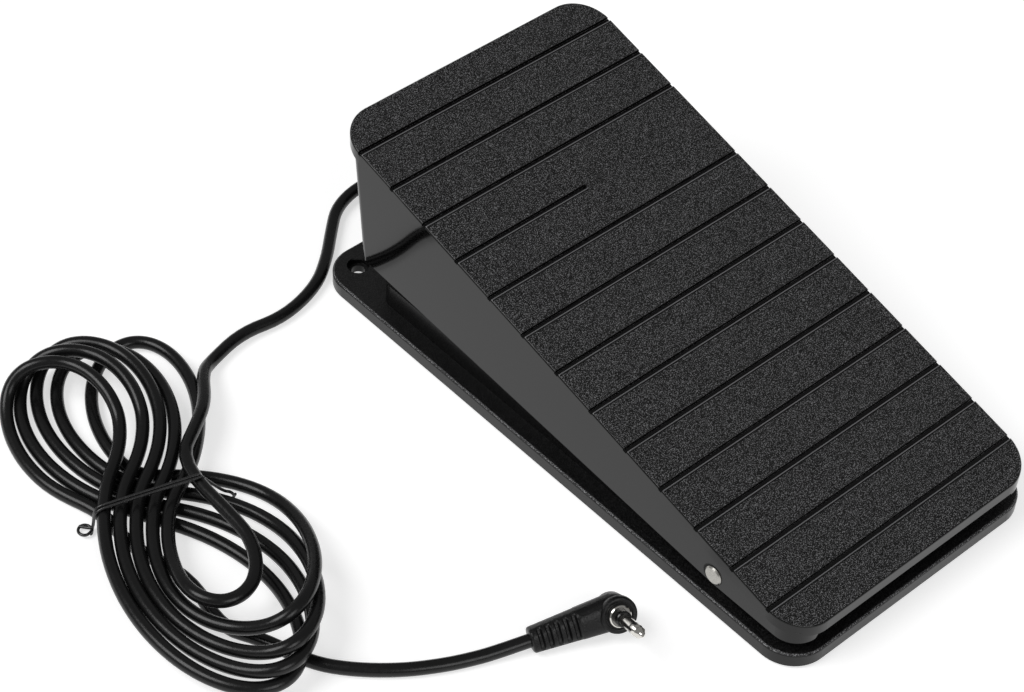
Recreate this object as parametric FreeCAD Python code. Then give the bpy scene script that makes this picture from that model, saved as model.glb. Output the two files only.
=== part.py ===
import FreeCAD, Part
import math
import os

# A push-to-talk foot switch: a ribbed treadle on a flat base, hinged near its low end.
# X runs across, +Y towards the raised rear end, +Z up. The origin lies on the floor, under the middle
# of the base. Lengths are in millimetres, angles in degrees.
os.makedirs("parts", exist_ok=True)
V = FreeCAD.Vector

# Base
BASE_WIDTH = 100.4
BASE_LENGTH = 204.0
BASE_THICK = 4.7
BASE_CORNER = 11.5
BASE_EDGE = 0.9
FOOT_PROUD = 1.0
FOOT_D = 12.0
FOOT_SINK = 1.2
FOOT_INSET_X = 13.0
FOOT_INSET_Y = 30.0
POCKET_DEEP = 1.6
POCKET_RIB = 3.0
POCKET_MARGIN = 6.0
MOUNT_INSET_X = 9.8
MOUNT_INSET_Y = 7.9
MOUNT_HOLE_D = 4.3
MOUNT_HEAD_D = 7.0
MOUNT_HEAD_DEEP = 2.2

# Treadle
TREAD_SIDE_IN = 0.4
TREAD_NEAR_IN = 0.7
TREAD_REAR_IN = 7.6
TREAD_NEAR_Z = 16.3
TREAD_PITCH = 14.79
TREAD_PLATE = 4.0
TREAD_CORNER = 12.0
TREAD_EDGE = 0.7
GROOVES = 13
GROOVE_FIRST = 11.9
GROOVE_STEP = 14.83
GROOVE_WIDE = 1.5
GROOVE_DEEP = 1.0
GROOVE_TAPER = 0.1
SHORT_GROOVE = 9
SKIRT_SIDE_INSET = 1.3
SKIRT_NEAR_INSET = 1.0
SKIRT_REAR_INSET = 5.7
SKIRT_REAR_LEAN = 6.8
SKIRT_WALL = 2.4
SKIRT_NEAR_CORNER = 8.0
SKIRT_REAR_CORNER = 3.0
SKIRT_LOW_Z = 9.7
NEAR_OPEN_LOW = 41.5
NEAR_OPEN_HIGH = 38.5
TRAVEL = 4.77
UNDER_RIB = 1.8
UNDER_RIB_DEEP = 5.0

# Pivot
PIN_D = 6.0
PIN_FROM_NEAR = 32.7
PIN_Z = 13.3
PIN_PROUD = 0.6
PIN_CHAMFER = 0.4
RUN_CLEAR = 0.05
BUSH_WALL = 1.0
BUSH_FLANGE = 0.8
BUSH_FLANGE_WIDE = 1.0
LUG_THICK = 6.0
LUG_GAP = 0.5
LUG_FOOT = 14.0
LUG_CROWN = 2.1

# Inner wall of the base
WALL_GAP = 1.7
WALL_THICK = 2.0
WALL_HEIGHT = 8.0
WALL_REAR_GAP = 0.3
WALL_NEAR_GAP = 8.0
WALL_CORNER = 5.0

# Return spring
SPRING_FROM_PIN = 104.6
SPRING_D = 14.0
SPRING_WIRE = 1.0
SPRING_TURNS = 7
SPRING_SEAT_H = 2.0
SPRING_SPIGOT_H = 4.0
SPRING_FIT = 0.4
SPRING_SEAT_RIM = 2.5
SPIGOT_TAPER = 0.8
SPRING_BOSS_Z = 44.0

# Switch
SWITCH_X = 18.0
SWITCH_FROM_PIN = 39.1
SWITCH_LONG = 19.8
SWITCH_WIDE = 6.4
SWITCH_HIGH = 10.2
SWITCH_COVER = 1.6
SWITCH_BELOW = 6.3
SWITCH_HOLE_D = 2.4
SWITCH_HOLE_STEP = 9.5
SWITCH_HOLE_UP = 2.9
SCREW_D = 2.2
SCREW_HEAD_D = 4.2
SCREW_HEAD_H = 1.4
SCREW_SLOT = 0.6
SWITCH_WALL = 4.0
SWITCH_WALL_OVER = 3.0
SWITCH_RIB = 2.0
SWITCH_RIB_OUT = 7.0
LEVER_THICK = 0.4
LEVER_WIDE = 4.0
LEVER_HINGE_IN = 1.6
LEVER_HINGE_UP = 0.9
LEVER_PIVOT_D = 1.4
EAR_GAP = 0.15
EAR_HALF = 1.4
LEVER_LONG = 24.5
LEVER_TURN = 12.6
LEVER_END_TILT = 1.2
PLUNGER_OUT = 5.4
PLUNGER_D = 2.0
PLUNGER_DEEP = 3.0
TOUCH_GAP = 0.25
POST_OUT = 18.3
POST_TIP_R = 2.5
POST_WIDE = 7.0
LUG_TAB_LONG = 3.9
LUG_TAB_WIDE = 2.2
LUG_TAB_THICK = 0.6
LUG_TAB_STEPS = (-8.0, 0.4, 8.0)

# Stops
REST_PAD_X = 25.0
REST_PAD_LONG = 14.0
BUMP_X = 30.0
BUMP_D = 6.0
BUMP_SINK = 1.0
REST_GAP = 0.3
BUMP_GAP = 0.15

# Cord
CORD_D = 4.0
GLAND_LONG = 15.0
GLAND_D = 7.4
GLAND_END_D = 5.6
GLAND_FLANGE = 1.6
GLAND_FLANGE_D = 9.4
GLAND_UP = 4.9
GLAND_RIBS = 4
GLAND_NECK_IN = 0.6
GLAND_RIB_DEEP = 0.6
GLAND_RIB_GAP = 1.1
INNER_CORD_LONG = 22.0
CLAMP_IN = 10.0
CLAMP_LONG = 7.0
CLAMP_WALL = 1.8
CLAMP_EAR = 6.5
CLAMP_GAP = 0.5
CLAMP_SCREW_D = 2.5
CLAMP_HEAD_D = 4.8
WIRE_D = 1.3
WIRE_ASIDE = 4.2
WIRE_APART = 2.4
WIRE_LOW = 0.3
NOTCH_WIDE = 13.0
NOTCH_HIGH = 6.0

# Route of the lead on the floor, from the gland to the hank
LEAD_ROUTE = [
    (0.0, 108.0, 9.8), (-4.9, 118.4, 6.8), (-15.0, 123.8, 3.8), (-26.4, 121.8, 2.4), (-34.9, 114.1, 2.0),
    (-43.5, 105.7, 2.0), (-54.0, 97.9, 2.0), (-70.0, 93.7, 2.0), (-87.0, 93.0, 2.0),
    (-99.5, 88.5, 2.4), (-108.2, 78.5, 3.8), (-115.8, 66.0, 5.6), (-122.8, 53.5, 6.8),
]
# Route of the tail on the floor, from the hank to the plug
TAIL_ROUTE = [
    (-140.2, -24.0, 2.0), (-130.5, -32.6, 2.0), (-119.5, -39.6, 2.0),
]

# Hank: the cord swings round a lower and an upper tip in each turn and crosses itself at the waist.
# A row per turn: the tip's X and Y and the loop's half width.
WAIST = (-147.5, 58.0)
LOW_TIPS = [(-143.0, 20.5, 8.5), (-137.0, -3.0, 15.8), (-144.4, -9.0, 15.2), (-151.5, -15.5, 15.0),
            (-158.5, -21.0, 14.5)]
TOP_TIPS = [(-108.5, 112.0, 8.5), (-119.0, 119.0, 13.0), (-128.3, 125.0, 15.3), (-137.5, 127.5, 16.0),
            (-147.0, 122.0, 16.5)]
# How far each turn is lifted where it lies on the ones beneath
LOW_PILE = [0.4, 15.4, 10.8, 6.1, 0.0]
TOP_PILE = [0.0, 4.6, 7.2, 8.8, 9.9]
HANK_START = 0.14
HANK_END = 4.93
HANK_STEPS = 120
HANK_LANE = 5.6
HANK_LANE_DOWN = (-0.72, -0.69)
HANK_LANE_UP = (-0.85, 0.53)
HANK_BLUNT = 0.6
HANK_LIFT = 4.65
HANK_LEAN = 0.7
HANK_LEAN_FROM = 5.0
HANK_SPAN = 12.0
# The hank's last strand, under the loops, to where the tail starts
HANK_LAST = [(-164.5, 66.0), (-158.5, 50.5), (-155.5, 36.0), (-154.5, 18.0), (-152.8, 0.0), (-149.8, -10.0)]

# Tie round the waist
TIE_WIRE_D = 0.9
TIE_GAP = 0.35
TIE_FLOOR_GAP = 0.05
TIE_BEND = 1.4
TIE_TAIL = 6.0
TIE_FROM = (-172.0, 67.0)
TIE_TO = (-124.0, 45.5)

# Plug
PLUG_HEAD_D = 10.4
PLUG_HEAD_LONG = 9.0
PLUG_HEAD_EDGE = 1.2
PLUG_AT = (-74.25, -56.58)
PLUG_AIM = (-0.304, -0.804, 0.510)
RELIEF_FROM = (-97.0, -47.6)
RELIEF_D = 7.0
RELIEF_HEAD_D = 9.0
RELIEF_RIBS = 5
RELIEF_GROOVE = 1.5
RELIEF_GROOVE_DEEP = 1.0
RELIEF_RIBBED = 0.62
COLLAR_D = 6.4
COLLAR_LONG = 1.4
BARREL_D = 4.6
BARREL_LONG = 2.6
JACK_D = 3.5
JACK_SLEEVE_LONG = 7.0
JACK_RING_LONG = 0.8
JACK_TIP_LONG = 5.2
JACK_NECK_D = 2.4

# Worked out from the sizes above
FLOOR_TO_BASE = FOOT_PROUD
BASE_TOP = FOOT_PROUD + BASE_THICK
TREAD_WIDTH = BASE_WIDTH - 2 * TREAD_SIDE_IN
TREAD_NEAR_Y = -BASE_LENGTH / 2 + TREAD_NEAR_IN
TREAD_REAR_Y = BASE_LENGTH / 2 - TREAD_REAR_IN
PIN_Y = TREAD_NEAR_Y + PIN_FROM_NEAR
SPRING_Y = PIN_Y + SPRING_FROM_PIN
SWITCH_Y = PIN_Y + SWITCH_FROM_PIN
PITCH_RISE = math.tan(math.radians(TREAD_PITCH))
TRAVEL_RISE = math.tan(math.radians(TRAVEL))
SKIRT_HALF = TREAD_WIDTH / 2 - SKIRT_SIDE_INSET
SKIRT_NEAR_Y = TREAD_NEAR_Y + SKIRT_NEAR_INSET
SKIRT_REAR_Y = TREAD_REAR_Y - SKIRT_REAR_INSET
SKIRT_IN_HALF = SKIRT_HALF - SKIRT_WALL
REAR_WALL_LOW_Y = SKIRT_REAR_Y - SKIRT_REAR_LEAN
WALL_HALF = SKIRT_IN_HALF - WALL_GAP
WALL_REAR_Y = REAR_WALL_LOW_Y - SKIRT_WALL - WALL_REAR_GAP
WALL_NEAR_Y = SKIRT_NEAR_Y + SKIRT_WALL + WALL_NEAR_GAP
WALL_TOP = BASE_TOP + WALL_HEIGHT
GLAND_Z = BASE_TOP + GLAND_UP
CORD_R = CORD_D / 2


def tread_z(y):
    """Height of the treadle's top at a place along it."""
    return TREAD_NEAR_Z + (y - TREAD_NEAR_Y) * PITCH_RISE


def under_z(y):
    """Height of the underside of the treadle's plate."""
    return tread_z(y) - TREAD_PLATE


def skirt_low_z(y):
    """Height of the skirt's lower edge: level up to the pin, then rising."""
    return SKIRT_LOW_Z + max(0.0, y - PIN_Y) * TRAVEL_RISE


def save(shape, name):
    shape.exportStep("parts/" + name + ".step")
    print(name, "solids", len(shape.Solids), "valid", shape.isValid(), "volume", round(shape.Volume, 1))


def box(x0, x1, y0, y1, z0, z1):
    return Part.makeBox(x1 - x0, y1 - y0, z1 - z0, V(x0, y0, z0))


def rod(diameter, length, at, along=V(0, 0, 1)):
    return Part.makeCylinder(diameter / 2, length, at, along)


def round_rect(x0, x1, y0, y1, near_r, rear_r, z):
    """Closed outline of a rectangle with one radius at its near corners and one at its rear corners."""
    k = math.sqrt(0.5)

    def arc(cx, cy, r, sx, sy, flip):
        a = V(cx + sx * r, cy, z)
        m = V(cx + sx * r * k, cy + sy * r * k, z)
        b = V(cx, cy + sy * r, z)
        return Part.Arc(b, m, a).toShape() if flip else Part.Arc(a, m, b).toShape()

    edges = [
        Part.makeLine(V(x0 + near_r, y0, z), V(x1 - near_r, y0, z)),
        arc(x1 - near_r, y0 + near_r, near_r, 1, -1, True),
        Part.makeLine(V(x1, y0 + near_r, z), V(x1, y1 - rear_r, z)),
        arc(x1 - rear_r, y1 - rear_r, rear_r, 1, 1, False),
        Part.makeLine(V(x1 - rear_r, y1, z), V(x0 + rear_r, y1, z)),
        arc(x0 + rear_r, y1 - rear_r, rear_r, -1, 1, True),
        Part.makeLine(V(x0, y1 - rear_r, z), V(x0, y0 + near_r, z)),
        arc(x0 + near_r, y0 + near_r, near_r, -1, -1, False),
    ]
    return Part.Wire(edges)


def prism(wire, height):
    return Part.Face(wire).extrude(V(0, 0, height))


def side_slab(points, half):
    """Solid with a given outline in the Y-Z plane, running across from -half to +half."""
    loop = [V(-half, y, z) for y, z in points]
    return Part.Face(Part.makePolygon(loop + loop[:1])).extrude(V(2 * half, 0, 0))


def fuse(first, *rest):
    return first.multiFuse(list(rest)).removeSplitter()


def revolve(outline, at, along):
    """Solid of revolution: outline is (distance along, radius) points, closed on its axis."""
    pts = [V(r, 0, s) for s, r in outline]
    pts = [V(0, 0, outline[0][0])] + pts + [V(0, 0, outline[-1][0])]
    face = Part.Face(Part.makePolygon(pts + pts[:1]))
    solid = face.revolve(V(0, 0, 0), V(0, 0, 1), 360)
    turn = FreeCAD.Rotation(V(0, 0, 1), along)
    solid.Placement = FreeCAD.Placement(at, turn)
    return solid


# Cord geometry


def bent_path(points):
    """Straight runs joined by the largest tangent arcs that the runs allow. Gives edges and radii."""
    runs = [points[i + 1] - points[i] for i in range(len(points) - 1)]
    edges = []
    radii = []
    start = points[0]
    for i in range(1, len(points) - 1):
        a = runs[i - 1]
        b = runs[i]
        u = V(a).normalize()
        w = V(b).normalize()
        turn = math.acos(max(-1.0, min(1.0, u.dot(w))))
        back = 0.45 * min(a.Length, b.Length)
        p = points[i] - u * back
        q = points[i] + w * back
        radius = back / math.tan(turn / 2)
        middle = (w - u).normalize()
        centre = points[i] + middle * (radius / math.cos(turn / 2))
        edges.append(Part.makeLine(start, p))
        edges.append(Part.Arc(p, centre - middle * radius, q).toShape())
        radii.append(radius)
        start = q
    edges.append(Part.makeLine(start, points[-1]))
    return edges, radii


def tube_along(edges, diameter):
    """Round tube along joined edges."""
    wire = Part.Wire(edges)
    first = edges[0]
    at = first.valueAt(first.FirstParameter)
    aim = first.tangentAt(first.FirstParameter)
    profile = Part.Wire(Part.makeCircle(diameter / 2, at, aim))
    pipe = Part.BRepOffsetAPI.MakePipeShell(wire)
    pipe.add(profile)
    pipe.build()
    pipe.makeSolid()
    return pipe.shape()


def biarc(p0, t0, p1, t1):
    """Two arcs that leave p0 along t0 and reach p1 along t1."""
    v = p1 - p0
    both = t0 + t1
    spread = 2 * (1 - t0.dot(t1))
    if spread < 1e-6:
        d = v.dot(v) / (4 * v.dot(t0))
    else:
        d = (-v.dot(both) + math.sqrt(v.dot(both) ** 2 + spread * v.dot(v))) / spread
    joint = (p0 + t0 * d + p1 - t1 * d) * 0.5
    out = []
    for a, ta, b in ((p0, t0, joint), (joint, None, p1)):
        chord = b - a
        if ta is None:
            # the second arc ends along t1, so it is the mirror of one that starts along it
            along = t1
            sign = -1
        else:
            along = ta
            sign = 1
        side = chord - along * chord.dot(along)
        if side.Length < 1e-4 * chord.Length:
            out.append(Part.makeLine(a, b))
            continue
        half = math.acos(max(-1.0, min(1.0, chord.dot(along) / chord.Length))) / 2
        bulge = chord.Length / 2 * math.tan(half)
        across = (along - chord * (along.dot(chord) / chord.dot(chord))).normalize()
        out.append(Part.Arc(a, (a + b) * 0.5 + across * (bulge * sign), b).toShape())
    return out


def ease(t):
    t = min(1.0, max(0.0, t))
    return t * t * (3 - 2 * t)


def blend_rows(rows, at):
    """Values between two rows, eased, for a turn between two turns."""
    at = min(max(at, 0.0), len(rows) - 1.0)
    k = min(int(at), len(rows) - 2)
    t = ease(at - k)
    return [p * (1 - t) + q * t for p, q in zip(rows[k], rows[k + 1])]


def hank_height(low, turn, s, c):
    """Height of the cord's middle: strands going down lie under those going up, and later turns pile."""
    crossing = HANK_LIFT * ease(0.5 - 0.9 * c)
    away = ease((s - 0.25) / 0.45)
    if low:
        pile = blend_rows([(v,) for v in LOW_PILE], turn - 0.25)[0]
        lobe = HANK_LIFT * ease((0.92 - c) / 0.36)
        lobe += pile * ease((0.90 - c) / 0.80) * (1 - ease(-c / 0.7))
    else:
        pile = blend_rows([(v,) for v in TOP_PILE], turn - 0.75)[0]
        lobe = pile * (1 - ease((c + 0.2) / 0.9))
    if turn < 0.5:
        lobe = HANK_LIFT + LOW_PILE[0]
        away = 1.0 if c > 0 else away
    return CORD_R + crossing * (1 - away) + lobe * away


def hank_loops():
    """Points of the loops, wound from the small one under the lead to the last one."""
    out = []
    middle = (HANK_START + HANK_END) / 2
    for i in range(round(HANK_START * HANK_STEPS), round(HANK_END * HANK_STEPS) + 1):
        turn = i / HANK_STEPS
        s = abs(math.sin(2 * math.pi * turn))
        c = math.cos(2 * math.pi * turn)
        low = turn % 1.0 < 0.5
        x, y, half = blend_rows(LOW_TIPS, turn - 0.25) if low else blend_rows(TOP_TIPS, turn - 0.75)
        reach = math.hypot(x - WAIST[0], y - WAIST[1])
        ux = (x - WAIST[0]) / reach
        uy = (y - WAIST[1]) / reach
        wide = half / 0.64 * (1 + HANK_BLUNT) * s / (s + HANK_BLUNT) * c
        lane = (turn - middle) * HANK_LANE * (1 - s) ** 0.7
        lx, ly = HANK_LANE_DOWN if c > 0 else HANK_LANE_UP
        z = hank_height(low, turn, s, c)
        lean = HANK_LEAN * (z - HANK_LEAN_FROM)
        px = WAIST[0] + reach * s * ux - wide * uy + lane * lx - lean
        py = WAIST[1] + reach * s * uy + wide * ux + lane * ly - lean
        out.append((px, py, z))
    return out


def smooth_route(route, step):
    """Points along a smooth curve through a route's own points."""
    out = []
    n = len(route)
    for k in range(n - 1):
        p0 = route[max(k - 1, 0)]
        p1 = route[k]
        p2 = route[k + 1]
        p3 = route[min(k + 2, n - 1)]
        count = max(1, round(math.dist(p1, p2) / step))
        for j in range(count):
            t = j / count
            out.append([0.5 * (2 * b + (c - a) * t + (2 * a - 5 * b + 4 * c - d) * t * t
                               + (3 * b - a - 3 * c + d) * t ** 3) for a, b, c, d in zip(p0, p1, p2, p3)])
    out.append(list(route[-1]))
    return out


def hank_points():
    loops = hank_loops()
    last = smooth_route(loops[-1:] + [(x, y, CORD_R) for x, y in HANK_LAST], 3.0)[1:]
    return even_points([V(*p) for p in loops + last], 2.0)


def even_points(points, step):
    """The same path with points at equal distances."""
    total = sum((b - a).Length for a, b in zip(points, points[1:]))
    count = round(total / step)
    gap = total / count
    out = [points[0]]
    left = gap
    for a, b in zip(points, points[1:]):
        run = (b - a).Length
        done = 0.0
        while run - done >= left and len(out) < count:
            done += left
            out.append(a + (b - a) * (done / run))
            left = gap
        left -= run - done
    out.append(points[-1])
    return out


def least_gap(points, diameter):
    """Smallest clear distance between far-apart stretches of a tube."""
    best = 1e9
    reach = 1
    while reach < len(points) and (points[reach] - points[0]).Length < 3 * diameter:
        reach += 1
    for i in range(len(points)):
        for j in range(i + reach * 2, len(points)):
            a = points[i]
            b = points[j]
            if abs(a.x - b.x) < 9 and abs(a.y - b.y) < 9:
                d = a.distanceToPoint(b)
                if d < best:
                    best = d
    return best - diameter


def through(points, every):
    """Biarcs through every n-th point, with the tangents of the whole row."""
    picks = list(range(0, len(points) - 1, every))
    if len(points) - 1 - picks[-1] < every / 2:
        picks.pop()
    picks.append(len(points) - 1)
    nodes = []
    for i in picks:
        a = points[max(i - 1, 0)]
        b = points[min(i + 1, len(points) - 1)]
        nodes.append((points[i], (b - a).normalize()))
    edges = []
    for (p0, t0), (p1, t1) in zip(nodes, nodes[1:]):
        edges += biarc(p0, t0, p1, t1)
    return edges, nodes


def edge_points(edges, step):
    out = []
    for e in edges:
        out += e.discretize(max(2, int(e.Length / step) + 1))[:-1]
    return out


# Base


def base_tray():
    half = BASE_WIDTH / 2
    end = BASE_LENGTH / 2
    plate = prism(round_rect(-half, half, -end, end, BASE_CORNER, BASE_CORNER, FLOOR_TO_BASE), BASE_THICK)
    top = [e for e in plate.Edges if all(abs(v.Z - BASE_TOP) < 1e-6 for v in e.Vertexes)]
    plate = plate.makeFillet(BASE_EDGE, top)
    outer = prism(round_rect(-WALL_HALF, WALL_HALF, WALL_NEAR_Y, WALL_REAR_Y, WALL_CORNER, WALL_CORNER,
                             BASE_TOP - 1), WALL_HEIGHT + 1)
    t = WALL_THICK
    inner = prism(round_rect(-WALL_HALF + t, WALL_HALF - t, WALL_NEAR_Y + t, WALL_REAR_Y - t, WALL_CORNER - t,
                             WALL_CORNER - t, BASE_TOP), WALL_HEIGHT + 1)
    wall = outer.cut(inner)
    solid = fuse(plate, wall, *lugs(), *spring_seat(), *switch_stand(), *clamp_stand())
    cuts = [gland_slot(), *mount_cuts(), *foot_cuts(), *pockets(), *bush_bores(), *bump_cuts()]
    cuts += switch_pilots() + clamp_pilots()
    return solid.cut(Part.makeCompound(cuts))


def lug_x(side):
    """Inner and outer face of a pivot lug."""
    outer = SKIRT_IN_HALF - LUG_GAP - BUSH_FLANGE
    return (outer - LUG_THICK, outer) if side > 0 else (-outer, -outer + LUG_THICK)


def lugs():
    out = []
    crown = PIN_D / 2 + RUN_CLEAR + BUSH_WALL + LUG_CROWN
    for side in (-1, 1):
        x0, x1 = lug_x(side)
        body = rod(2 * crown, x1 - x0, V(x0, PIN_Y, PIN_Z), V(1, 0, 0))
        foot = box(x0, x1, PIN_Y - LUG_FOOT / 2, PIN_Y + LUG_FOOT / 2, BASE_TOP - 1, BASE_TOP + 2)
        neck = box(x0, x1, PIN_Y - crown, PIN_Y + crown, BASE_TOP - 1, PIN_Z)
        out.append(body.fuse(foot).fuse(neck))
    return out


def bush_bores():
    d = PIN_D + 2 * (RUN_CLEAR + BUSH_WALL)
    return [rod(d, LUG_THICK + 4, V(lug_x(s)[0] - 2, PIN_Y, PIN_Z), V(1, 0, 0)) for s in (-1, 1)]


def spring_seat():
    pad = rod(SPRING_D + 2 * SPRING_SEAT_RIM, SPRING_SEAT_H + 1, V(0, SPRING_Y, BASE_TOP - 1))
    inner = SPRING_D - 2 * SPRING_WIRE - 2 * SPRING_FIT
    low = V(0, SPRING_Y, BASE_TOP + SPRING_SEAT_H)
    spigot = Part.makeCone(inner / 2, inner / 2 - SPIGOT_TAPER, SPRING_SPIGOT_H, low)
    return [pad, spigot]


SWITCH_LOW_Z = BASE_TOP + SWITCH_BELOW
SWITCH_TOP_Z = SWITCH_LOW_Z + SWITCH_HIGH
SWITCH_FACE_X = SWITCH_X + SWITCH_WIDE / 2
SWITCH_SCREW_Z = SWITCH_LOW_Z + SWITCH_HOLE_UP
HINGE_Y = SWITCH_Y - SWITCH_LONG / 2 + LEVER_HINGE_IN
HINGE_Z = SWITCH_TOP_Z + LEVER_HINGE_UP


def switch_stand():
    top = SWITCH_SCREW_Z + SWITCH_HOLE_D / 2 + SWITCH_WALL_OVER
    half = SWITCH_LONG / 2
    wall = box(SWITCH_FACE_X, SWITCH_FACE_X + SWITCH_WALL, SWITCH_Y - half, SWITCH_Y + half, BASE_TOP - 1, top)
    out = [wall]
    x0 = SWITCH_FACE_X + SWITCH_WALL / 2
    x1 = SWITCH_FACE_X + SWITCH_WALL + SWITCH_RIB_OUT
    for y in (SWITCH_Y - half + SWITCH_RIB, SWITCH_Y + half - 2 * SWITCH_RIB):
        rib = [(x0, BASE_TOP - 1), (x1, BASE_TOP - 1), (x1, BASE_TOP + 1), (x0, top - 1)]
        loop = [V(x, y, z) for x, z in rib]
        out.append(Part.Face(Part.makePolygon(loop + loop[:1])).extrude(V(0, SWITCH_RIB, 0)))
    return out


def switch_screw_places():
    return [(SWITCH_Y + k * SWITCH_HOLE_STEP / 2, SWITCH_SCREW_Z) for k in (-1, 1)]


def switch_pilots():
    return [rod(SCREW_D, SWITCH_WALL, V(SWITCH_FACE_X - 1, y, z), V(1, 0, 0)) for y, z in switch_screw_places()]


CLAMP_Y = WALL_REAR_Y - WALL_THICK - CLAMP_IN
CLAMP_SEAT_Z = GLAND_Z - CORD_R
CLAMP_HALF = CORD_R + CLAMP_WALL + CLAMP_EAR


def clamp_stand():
    y0 = CLAMP_Y - CLAMP_LONG / 2
    return [box(-CLAMP_HALF, CLAMP_HALF, y0, y0 + CLAMP_LONG, BASE_TOP - 1, CLAMP_SEAT_Z)]


def clamp_screw_x():
    return CORD_R + CLAMP_WALL + CLAMP_EAR / 2


def clamp_pilots():
    deep = CLAMP_SEAT_Z - BASE_TOP
    return [rod(CLAMP_SCREW_D, deep + 1, V(s * clamp_screw_x(), CLAMP_Y, BASE_TOP)) for s in (-1, 1)]


def gland_slot():
    half = GLAND_D / 2 - GLAND_NECK_IN
    return box(-half, half, WALL_REAR_Y - WALL_THICK - 1, WALL_REAR_Y + 1, GLAND_Z - half, WALL_TOP + 1)


def mount_places():
    y = BASE_LENGTH / 2 - MOUNT_INSET_Y
    x = BASE_WIDTH / 2 - MOUNT_INSET_X
    return [(-x, y), (x, y)]


def mount_cuts():
    out = []
    for x, y in mount_places():
        out.append(rod(MOUNT_HOLE_D, BASE_THICK + 2, V(x, y, FLOOR_TO_BASE - 1)))
        out.append(rod(MOUNT_HEAD_D, MOUNT_HEAD_DEEP + 1, V(x, y, BASE_TOP - MOUNT_HEAD_DEEP)))
    return out


def foot_places():
    x = BASE_WIDTH / 2 - FOOT_INSET_X
    y = BASE_LENGTH / 2 - FOOT_INSET_Y
    return [(sx * x, sy * y) for sx in (-1, 1) for sy in (-1, 1)]


def foot_cuts():
    return [rod(FOOT_D, FOOT_SINK + 1, V(x, y, FLOOR_TO_BASE - 1)) for x, y in foot_places()]


def pockets():
    """Shallow core-outs under the plate, in one column between the feet."""
    half = BASE_WIDTH / 2 - FOOT_INSET_X - FOOT_D / 2 - POCKET_MARGIN
    end = BASE_LENGTH / 2 - POCKET_MARGIN * 3
    count = 5
    pitch = 2 * end / count
    out = []
    for i in range(count):
        y0 = -end + i * pitch + POCKET_RIB / 2
        for x0, x1 in ((-half, -POCKET_RIB / 2), (POCKET_RIB / 2, half)):
            y1 = y0 + pitch - POCKET_RIB
            out.append(box(x0, x1, y0, y1, FLOOR_TO_BASE - 1, FLOOR_TO_BASE + POCKET_DEEP))
    return out


def rear_edge_pressed():
    """Middle of the rear wall's lower edge, with the treadle fully down."""
    low = SKIRT_LOW_Z - 2
    rise = (skirt_low_z(REAR_WALL_LOW_Y) - low) / (tread_z(TREAD_REAR_Y) - low)
    y = REAR_WALL_LOW_Y + SKIRT_REAR_LEAN * rise - SKIRT_WALL / 2
    z = skirt_low_z(y)
    a = math.radians(TRAVEL)
    turned_y = (y - PIN_Y) * math.cos(a) + (z - PIN_Z) * math.sin(a)
    turned_z = (z - PIN_Z) * math.cos(a) - (y - PIN_Y) * math.sin(a)
    return PIN_Y + turned_y, PIN_Z + turned_z


def bump_places():
    return [(s * BUMP_X, rear_edge_pressed()[0]) for s in (-1, 1)]


def bump_cuts():
    return [rod(BUMP_D, BUMP_SINK + 1, V(x, y, BASE_TOP - BUMP_SINK)) for x, y in bump_places()]


def rubber_feet():
    deep = FOOT_SINK + FOOT_PROUD
    return Part.makeCompound([rod(FOOT_D, deep, V(x, y, 0)) for x, y in foot_places()])


def pivot_bushes():
    bore = PIN_D + 2 * RUN_CLEAR
    outer = bore + 2 * BUSH_WALL
    out = []
    for side in (-1, 1):
        x0, x1 = lug_x(side)
        sleeve = rod(outer, x1 - x0, V(x0, PIN_Y, PIN_Z), V(1, 0, 0))
        face = x1 if side > 0 else x0 - BUSH_FLANGE
        flange = rod(outer + 2 * BUSH_FLANGE_WIDE, BUSH_FLANGE, V(face, PIN_Y, PIN_Z), V(1, 0, 0))
        whole = fuse(sleeve, flange)
        out.append(whole.cut(rod(bore, LUG_THICK + 6, V(x0 - 3, PIN_Y, PIN_Z), V(1, 0, 0))))
    return Part.makeCompound(out)


# Treadle


def tread_outline():
    h = TREAD_WIDTH / 2
    return round_rect(-h, h, TREAD_NEAR_Y, TREAD_REAR_Y, TREAD_CORNER, TREAD_CORNER, 0)


def tread_plate():
    column = prism(tread_outline(), 120)
    y0 = TREAD_NEAR_Y - 5
    y1 = TREAD_REAR_Y + 5
    slab = side_slab([(y0, under_z(y0)), (y1, under_z(y1)), (y1, tread_z(y1)), (y0, tread_z(y0))], TREAD_WIDTH)
    plate = column.common(slab)
    top = []
    for e in plate.Edges:
        if all(abs(p.z - tread_z(p.y)) < 1e-4 for p in e.discretize(5)):
            top.append(e)
    return plate.makeFillet(TREAD_EDGE, top)


def grooves():
    """Cross grooves, a little narrower at the bottom. One of them stops at half width."""
    out = []
    slope = math.radians(TREAD_PITCH)
    for k in range(GROOVES):
        s = GROOVE_FIRST + GROOVE_STEP * k
        y = TREAD_NEAR_Y + s * math.cos(slope)
        z = tread_z(y)
        along = V(0, math.cos(slope), math.sin(slope))
        up = V(0, -math.sin(slope), math.cos(slope))
        w = GROOVE_WIDE / 2
        d = GROOVE_DEEP
        x0 = -TREAD_WIDTH / 2 - 2
        x1 = 0.0 if k == SHORT_GROOVE else TREAD_WIDTH / 2 + 2
        c = V(x0, y, z)
        floor = w - GROOVE_TAPER
        loop = [c - along * w + up, c + along * w + up, c + along * floor - up * d, c - along * floor - up * d]
        out.append(Part.Face(Part.makePolygon(loop + loop[:1])).extrude(V(x1 - x0, 0, 0)))
        if k == SHORT_GROOVE:
            end = V(x1, y, z)
            out.append(Part.makeCylinder(w, d + 1, end - up * d, up))
    return out


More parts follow.
